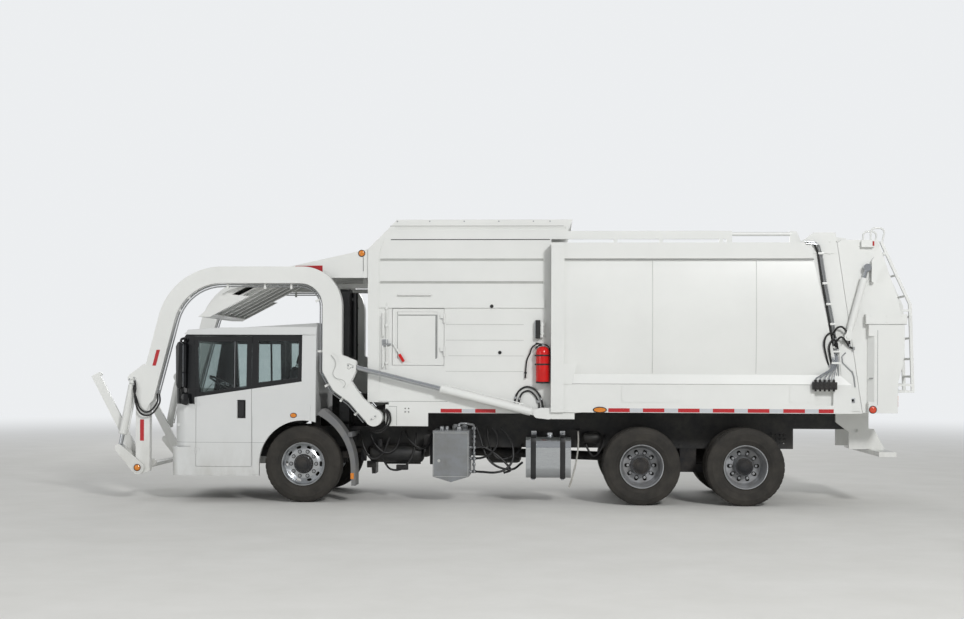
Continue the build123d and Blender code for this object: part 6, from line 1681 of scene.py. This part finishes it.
def makeTailgateTrim(side, sign):
    name = side.title()
    makeRoundLamp("tailSideLamp", side, sign, (7446, 1270), "rear_gate", redOrangeLens, [
        (0, 1240), (50, 1240), (52, 1236), (52, 1230), (0, 1230),
    ], [(0, 1249), (16, 1249), (34, 1246), (43, 1241), (43, 1238), (0, 1238)])
    bm = bmesh.new()
    addBlock(bm, (7441, sign * 1206, 3396), (7464, sign * 1210, 3456), 2)
    addBlock(bm, (7468, sign * 1180, 3396), (7474, sign * 1096, 3456), 2)
    newPiece(f"tailTopLamp{name}", bm, redLens, "rear_gate")
    bm = bmesh.new()
    addLathe(
        bm, at(7320, 0, 3420), (0, sign, 0), [(0, 1156), (16, 1156), (20, 1152), (20, 1146), (0, 1146)], 24,
    )
    newPiece(f"tailPlug{name}", bm, castIron, "rear_gate")
    # small pull and hinge line on the box, and a drip lip under the band, all in grey painted as their shade
    bm = bmesh.new()
    addBlock(bm, (7400, sign * 1211, 1668), (7462, sign * 1224, 1684), 3)
    addBlock(bm, (7360, sign * 1234, 2374), (7872, sign * 1240, 2380))
    addTube(bm, [at(7505, sign * 1236, 1330), at(7505, sign * 1236, 2300)], 2.6, 6)
    newPiece(f"tailShadeLines{name}", bm, paintedShadeGrey, "rear_gate")
    addBolts(f"bandBolts{name}", [(x, sign * 1248, z) for x in (7420, 7616, 7812) for z in (2406, 2486)],
             (0, sign, 0), 8, 5, "rear_gate", bodyEnamel)


# Lamps, plates and weld seams across the back, as such trucks carry them
tailValues = {"boxInner": 1000, "boxOuter": 1160, "tapeStep": 228, "tapeLow": 1226, "tapeHigh": 1276}


def makeTailBack():
    v = tailValues
    bm = bmesh.new()
    for sign in (-1, 1):
        for low, high in ((1300, 1460), (1480, 1560)):
            addBlock(bm, (7764, sign * v["boxInner"], low), (7784, sign * v["boxOuter"], high), 8)
    addBlock(bm, (7764, -160, 1290), (7776, 160, 1450), 4)
    newPiece("tailLampBoxes", bm, mouldedBlack, "rear_gate")
    for name, material, low, high in (
        ("tailLamps", redLens, 1308, 1378), ("tailTurnLamps", amberLens, 1384, 1452),
        ("tailReverse", clearLens, 1488, 1552),
    ):
        bm = bmesh.new()
        for sign in (-1, 1):
            addBlock(bm, (7782, sign * (v["boxInner"] + 8), low), (7790, sign * (v["boxOuter"] - 8), high), 3)
        newPiece(name, bm, material, "rear_gate")
    bm = bmesh.new()
    addBlock(bm, (7774, -152, 1298), (7779, 152, 1442), 2)
    newPiece("blankPlate", bm, silverTape, "rear_gate")
    # red and silver tape by turns, red in the middle
    for name, material, first, half in (
        ("backTapeRed", redTape, -4, 114), ("backTapeSilver", silverTape, -3, 112),
    ):
        bm = bmesh.new()
        for k in range(first, 5, 2):
            y = k * v["tapeStep"]
            addBlock(bm, (7765, y - half, v["tapeLow"]), (7769, y + half, v["tapeHigh"]))
        newPiece(name, bm, material, "rear_gate")
    # weld seams across the back, darker grey painted as their shade
    bm = bmesh.new()
    for y in (-880, 0, 880):
        addTube(bm, [at(7851, y, 2020), at(7851, y, 2400)], 4, 6)
    for z in (2010, 2415):
        addTube(bm, [at(7852, -1100, z), at(7852, 1100, z)], 4, 6)
    newPiece("backSeams", bm, beadPaintedShade, "rear_gate")


for side, sign in sides:
    makeRearPipes(side, sign)
    makeRearHoses(side, sign)
    makeRearFrameTrim(side, sign)
    makeTailgateTrim(side, sign)
makeValves()
makeTailBack()


# Chassis: tank straps, tank fittings, leaf springs and the clutter between the rails

print("chassis")
chassisValues = {
    "leafCount": 6, "leafStep": 11, "leafDrop": 95, "ribCount": 9, "ribPitch": 52,
    "strapFronts": (3017, 3403), "strapWide": 70, "tankPipe": (2252, -862), "railBoltPitch": 310,
}


def makeFuelStraps():
    bm = bmesh.new()
    wide = chassisValues["strapWide"]
    for x in chassisValues["strapFronts"]:
        profile = [
            (560, 345), (600, 335), (1120, 335), (1161, 350), (1168, 400), (1168, 820), (1160, 870),
            (1120, 891), (600, 891),
        ]
        addPrism(bm, [at(x, -y, z) for y, z in profile], [at(x + wide, -y, z) for y, z in profile], 0.002)
    newPiece("fuelStraps", bm, mouldedBlack, "chassis")
    bm = bmesh.new()
    for x in [front + wide / 2 for front in chassisValues["strapFronts"]]:
        addTube(bm, [at(x, -1100, 322), at(x, -1100, 362)], 10, 8)
        addBlock(bm, (x - 24, -1136, 318), (x + 24, -1070, 332), 3)
        addBlock(bm, (x - 30, -570, 884), (x + 30, -640, 905), 3)
    addLathe(bm, at(3270, -970, 884), (0, 0, 1), [
        (0, 58), (34, 58), (40, 52), (40, 44), (34, 42), (34, 10), (46, 6), (46, 0), (0, 0),
    ], 32)
    newPiece("fuelFittings", bm, zincSteel, "chassis")


def makeTankFittings():
    bm = bmesh.new()
    for x, z, r in ((1830, 962, 34), (1900, 962, 26), (2060, 962, 40)):
        addLathe(bm, at(x, -960, z), (0, 0, 1), [
            (0, 54), (r * 0.7, 54), (r, 44), (r, 14), (r + 6, 10), (r + 6, 0), (0, 0),
        ], 20)
    addTube(bm, bentPath([
        (2060, -960, 1000), (2060, -960, 1050), (2150, -960, 1050), (2252, -900, 1030), (2252, -870, 900),
    ], 30), 16, 10)
    x, y = chassisValues["tankPipe"]
    for z, r in (
        (985, 34), (930, 26), (876, 30), (810, 24), (727, 30), (650, 24), (578, 32), (500, 22), (404, 28),
    ):
        addLathe(bm, at(x, y, z), (0, 0, 1), [
            (0, -22), (r * 0.8, -22), (r, -16), (r, 14), (r * 0.8, 20), (0, 20),
        ], 8)
    addTube(bm, [at(x, y, 400), at(x, y, 980)], 16, 10)
    for z in (404, 578, 727):
        addTube(bm, [at(x - 56, y, z), at(x + 4, y, z)], 16, 8)
    newPiece("tankFittings", bm, zincSteel, "chassis")
    bm = bmesh.new()
    addLathe(bm, at(1800, -1108, 560), (0, -1, 0), [(0, 6), (16, 6), (20, 2), (20, -4), (0, -4)], 20)
    for z in (352, 930):
        addTube(bm, [at(1740, -1111, z), at(2180, -1111, z)], 3, 6)
    for x in (1732, 2186):
        addTube(bm, [at(x, -1111, 352), at(x, -1111, 930)], 3, 6)
    newPiece("tankSeams", bm, beadPaintedShade, "chassis", "grey_tank")
    bm = bmesh.new()
    for route in (
        [
            (2262, -862, 578), (2360, -880, 590), (2470, -900, 640), (2560, -880, 760), (2560, -820, 880),
            (2500, -760, 985),
        ],
        [
            (2262, -862, 404), (2380, -890, 400), (2540, -930, 398), (2680, -900, 440), (2770, -860, 560),
            (2770, -800, 740), (2700, -720, 880), (2600, -660, 985),
        ],
        [
            (2262, -862, 727), (2400, -820, 720), (2560, -800, 620), (2690, -800, 500), (2740, -780, 420),
            (2650, -740, 380),
        ],
        [
            (2280, -700, 985), (2340, -760, 820), (2420, -800, 600), (2560, -800, 470), (2760, -780, 430),
            (2900, -700, 520),
        ],
        [
            (2420, -560, 985), (2430, -620, 830), (2500, -700, 640), (2620, -700, 560), (2800, -640, 620),
            (2900, -560, 760),
        ],
    ):
        addTube(bm, slackPath(route, 8), 15, 10)
    newPiece("tankHoses", bm, hoseRubber, "chassis")


def makeSprings():
    bm = bmesh.new()
    for sign in (-1, 1):
        y0, y1 = sign * 348, sign * 422
        # leaves, each shorter than the one above
        for k in range(chassisValues["leafCount"]):
            half = 690 - k * chassisValues["leafDrop"]
            z = 566 - k * chassisValues["leafStep"]
            addBlock(bm, (-half, y0, z), (half, y1, z + 9), 2)
        for x in (-60, 60):
            for y in (y0 - sign * 10, y1 + sign * 10):
                addTube(bm, [at(x, y, 440), at(x, y, 620)], 9, 8)
    newPiece("springLeaves", bm, castIron, "chassis")
    bm = bmesh.new()
    for sign in (-1, 1):
        addTube(bm, [at(330, sign * 470, 420), at(250, sign * 470, 640)], 38, 16)
        addTube(bm, [at(262, sign * 470, 606), at(218, sign * 470, 730)], 26, 16)
    newPiece("frontDampers", bm, frameEnamel, "chassis")


# Air tanks, gearbox ribs, brackets, brake hoses and the prop shaft seen between the wheels
def makeClutter():
    bm = bmesh.new()
    for x0, x1, y, z, r in (
        (800, 1560, -560, 620, 120), (800, 1560, 560, 620, 120), (2360, 2860, 640, 560, 140),
        (3700, 3960, -560, 850, 75),
    ):
        addLathe(bm, at(x0, y, z), (1, 0, 0), [
            (0, 0), (r * 0.6, 8), (r * 0.9, 30), (r, 70), (r, x1 - x0 - 70), (r * 0.9, x1 - x0 - 30),
            (r * 0.6, x1 - x0 - 8), (0, x1 - x0),
        ], 28)
    newPiece("airTanks", bm, frameEnamel, "chassis")
    bm = bmesh.new()
    # gearbox housing with ribs, coolers and brackets
    addBlock(bm, (1010, -470, 470), (1500, -440, 700), 10)
    for k in range(chassisValues["ribCount"]):
        x = 1030 + k * chassisValues["ribPitch"]
        addBlock(bm, (x, -500, 480), (x + 20, -468, 690), 3)
    for x, z, w, h in (
        (700, 520, 70, 150), (780, 430, 120, 90), (930, 700, 60, 120), (1180, 400, 160, 70),
        (1440, 560, 60, 170), (1560, 740, 90, 150), (640, 800, 60, 90), (1640, 480, 40, 300),
    ):
        addBlock(bm, (x, -640, z), (x + w, -560, z + h), 9)
    newPiece("gearboxParts", bm, engineCasting, "chassis")
    bm = bmesh.new()
    for route in (
        [(700, -700, 900), (760, -740, 700), (860, -760, 560), (1000, -730, 620), (1100, -700, 850)],
        [(820, -690, 930), (900, -720, 760), (1040, -720, 640), (1180, -690, 700), (1260, -650, 930)],
        [(1000, -700, 560), (1120, -760, 420), (1300, -760, 440), (1420, -700, 640), (1450, -640, 900)],
        [(1300, -640, 930), (1380, -700, 800), (1520, -720, 700), (1640, -690, 760), (1680, -600, 950)],
        [(3700, -500, 900), (3780, -560, 700), (3860, -600, 600), (3960, -560, 700), (4010, -470, 880)],
    ):
        addTube(bm, slackPath(route, 8), 14, 9)
    newPiece("chassisHoses", bm, hoseRubber, "chassis")
    bm = bmesh.new()
    addTube(bm, [at(1700, 0, 640), at(4300, 0, 560)], 62, 24)
    for x, z in ((1730, 640), (3010, 600), (4260, 562)):
        addLathe(bm, at(x, 0, z), (1, 0, -0.03), [(58, -50), (88, -40), (88, 40), (58, 50), (58, -50)], 24)
    addTube(bm, [at(4640, 0, 540), at(5560, 0, 540)], 55, 24)
    newPiece("propShaft", bm, castIron, "chassis")


# Bolt rows along the rails and sills
def makeRailTrim():
    for side, sign in sides:
        pitch = chassisValues["railBoltPitch"]
        points = [(x, sign * 431, z) for x in range(1300, 6500, pitch) for z in (760, 925)]
        addBolts(f"railBolts{side.title()}", points, (0, sign, 0), 9, 6, "chassis", castIron)
        points = [(x, sign * 431, z) for x in (1200, 1520, 1840, 2300, 2760, 3220) for z in (1020, 1160)]
        addBolts(f"sillBolts{side.title()}", points, (0, sign, 0), 9, 6, "chassis", castIron)


makeFuelStraps()
makeTankFittings()
makeSprings()
makeClutter()
makeRailTrim()
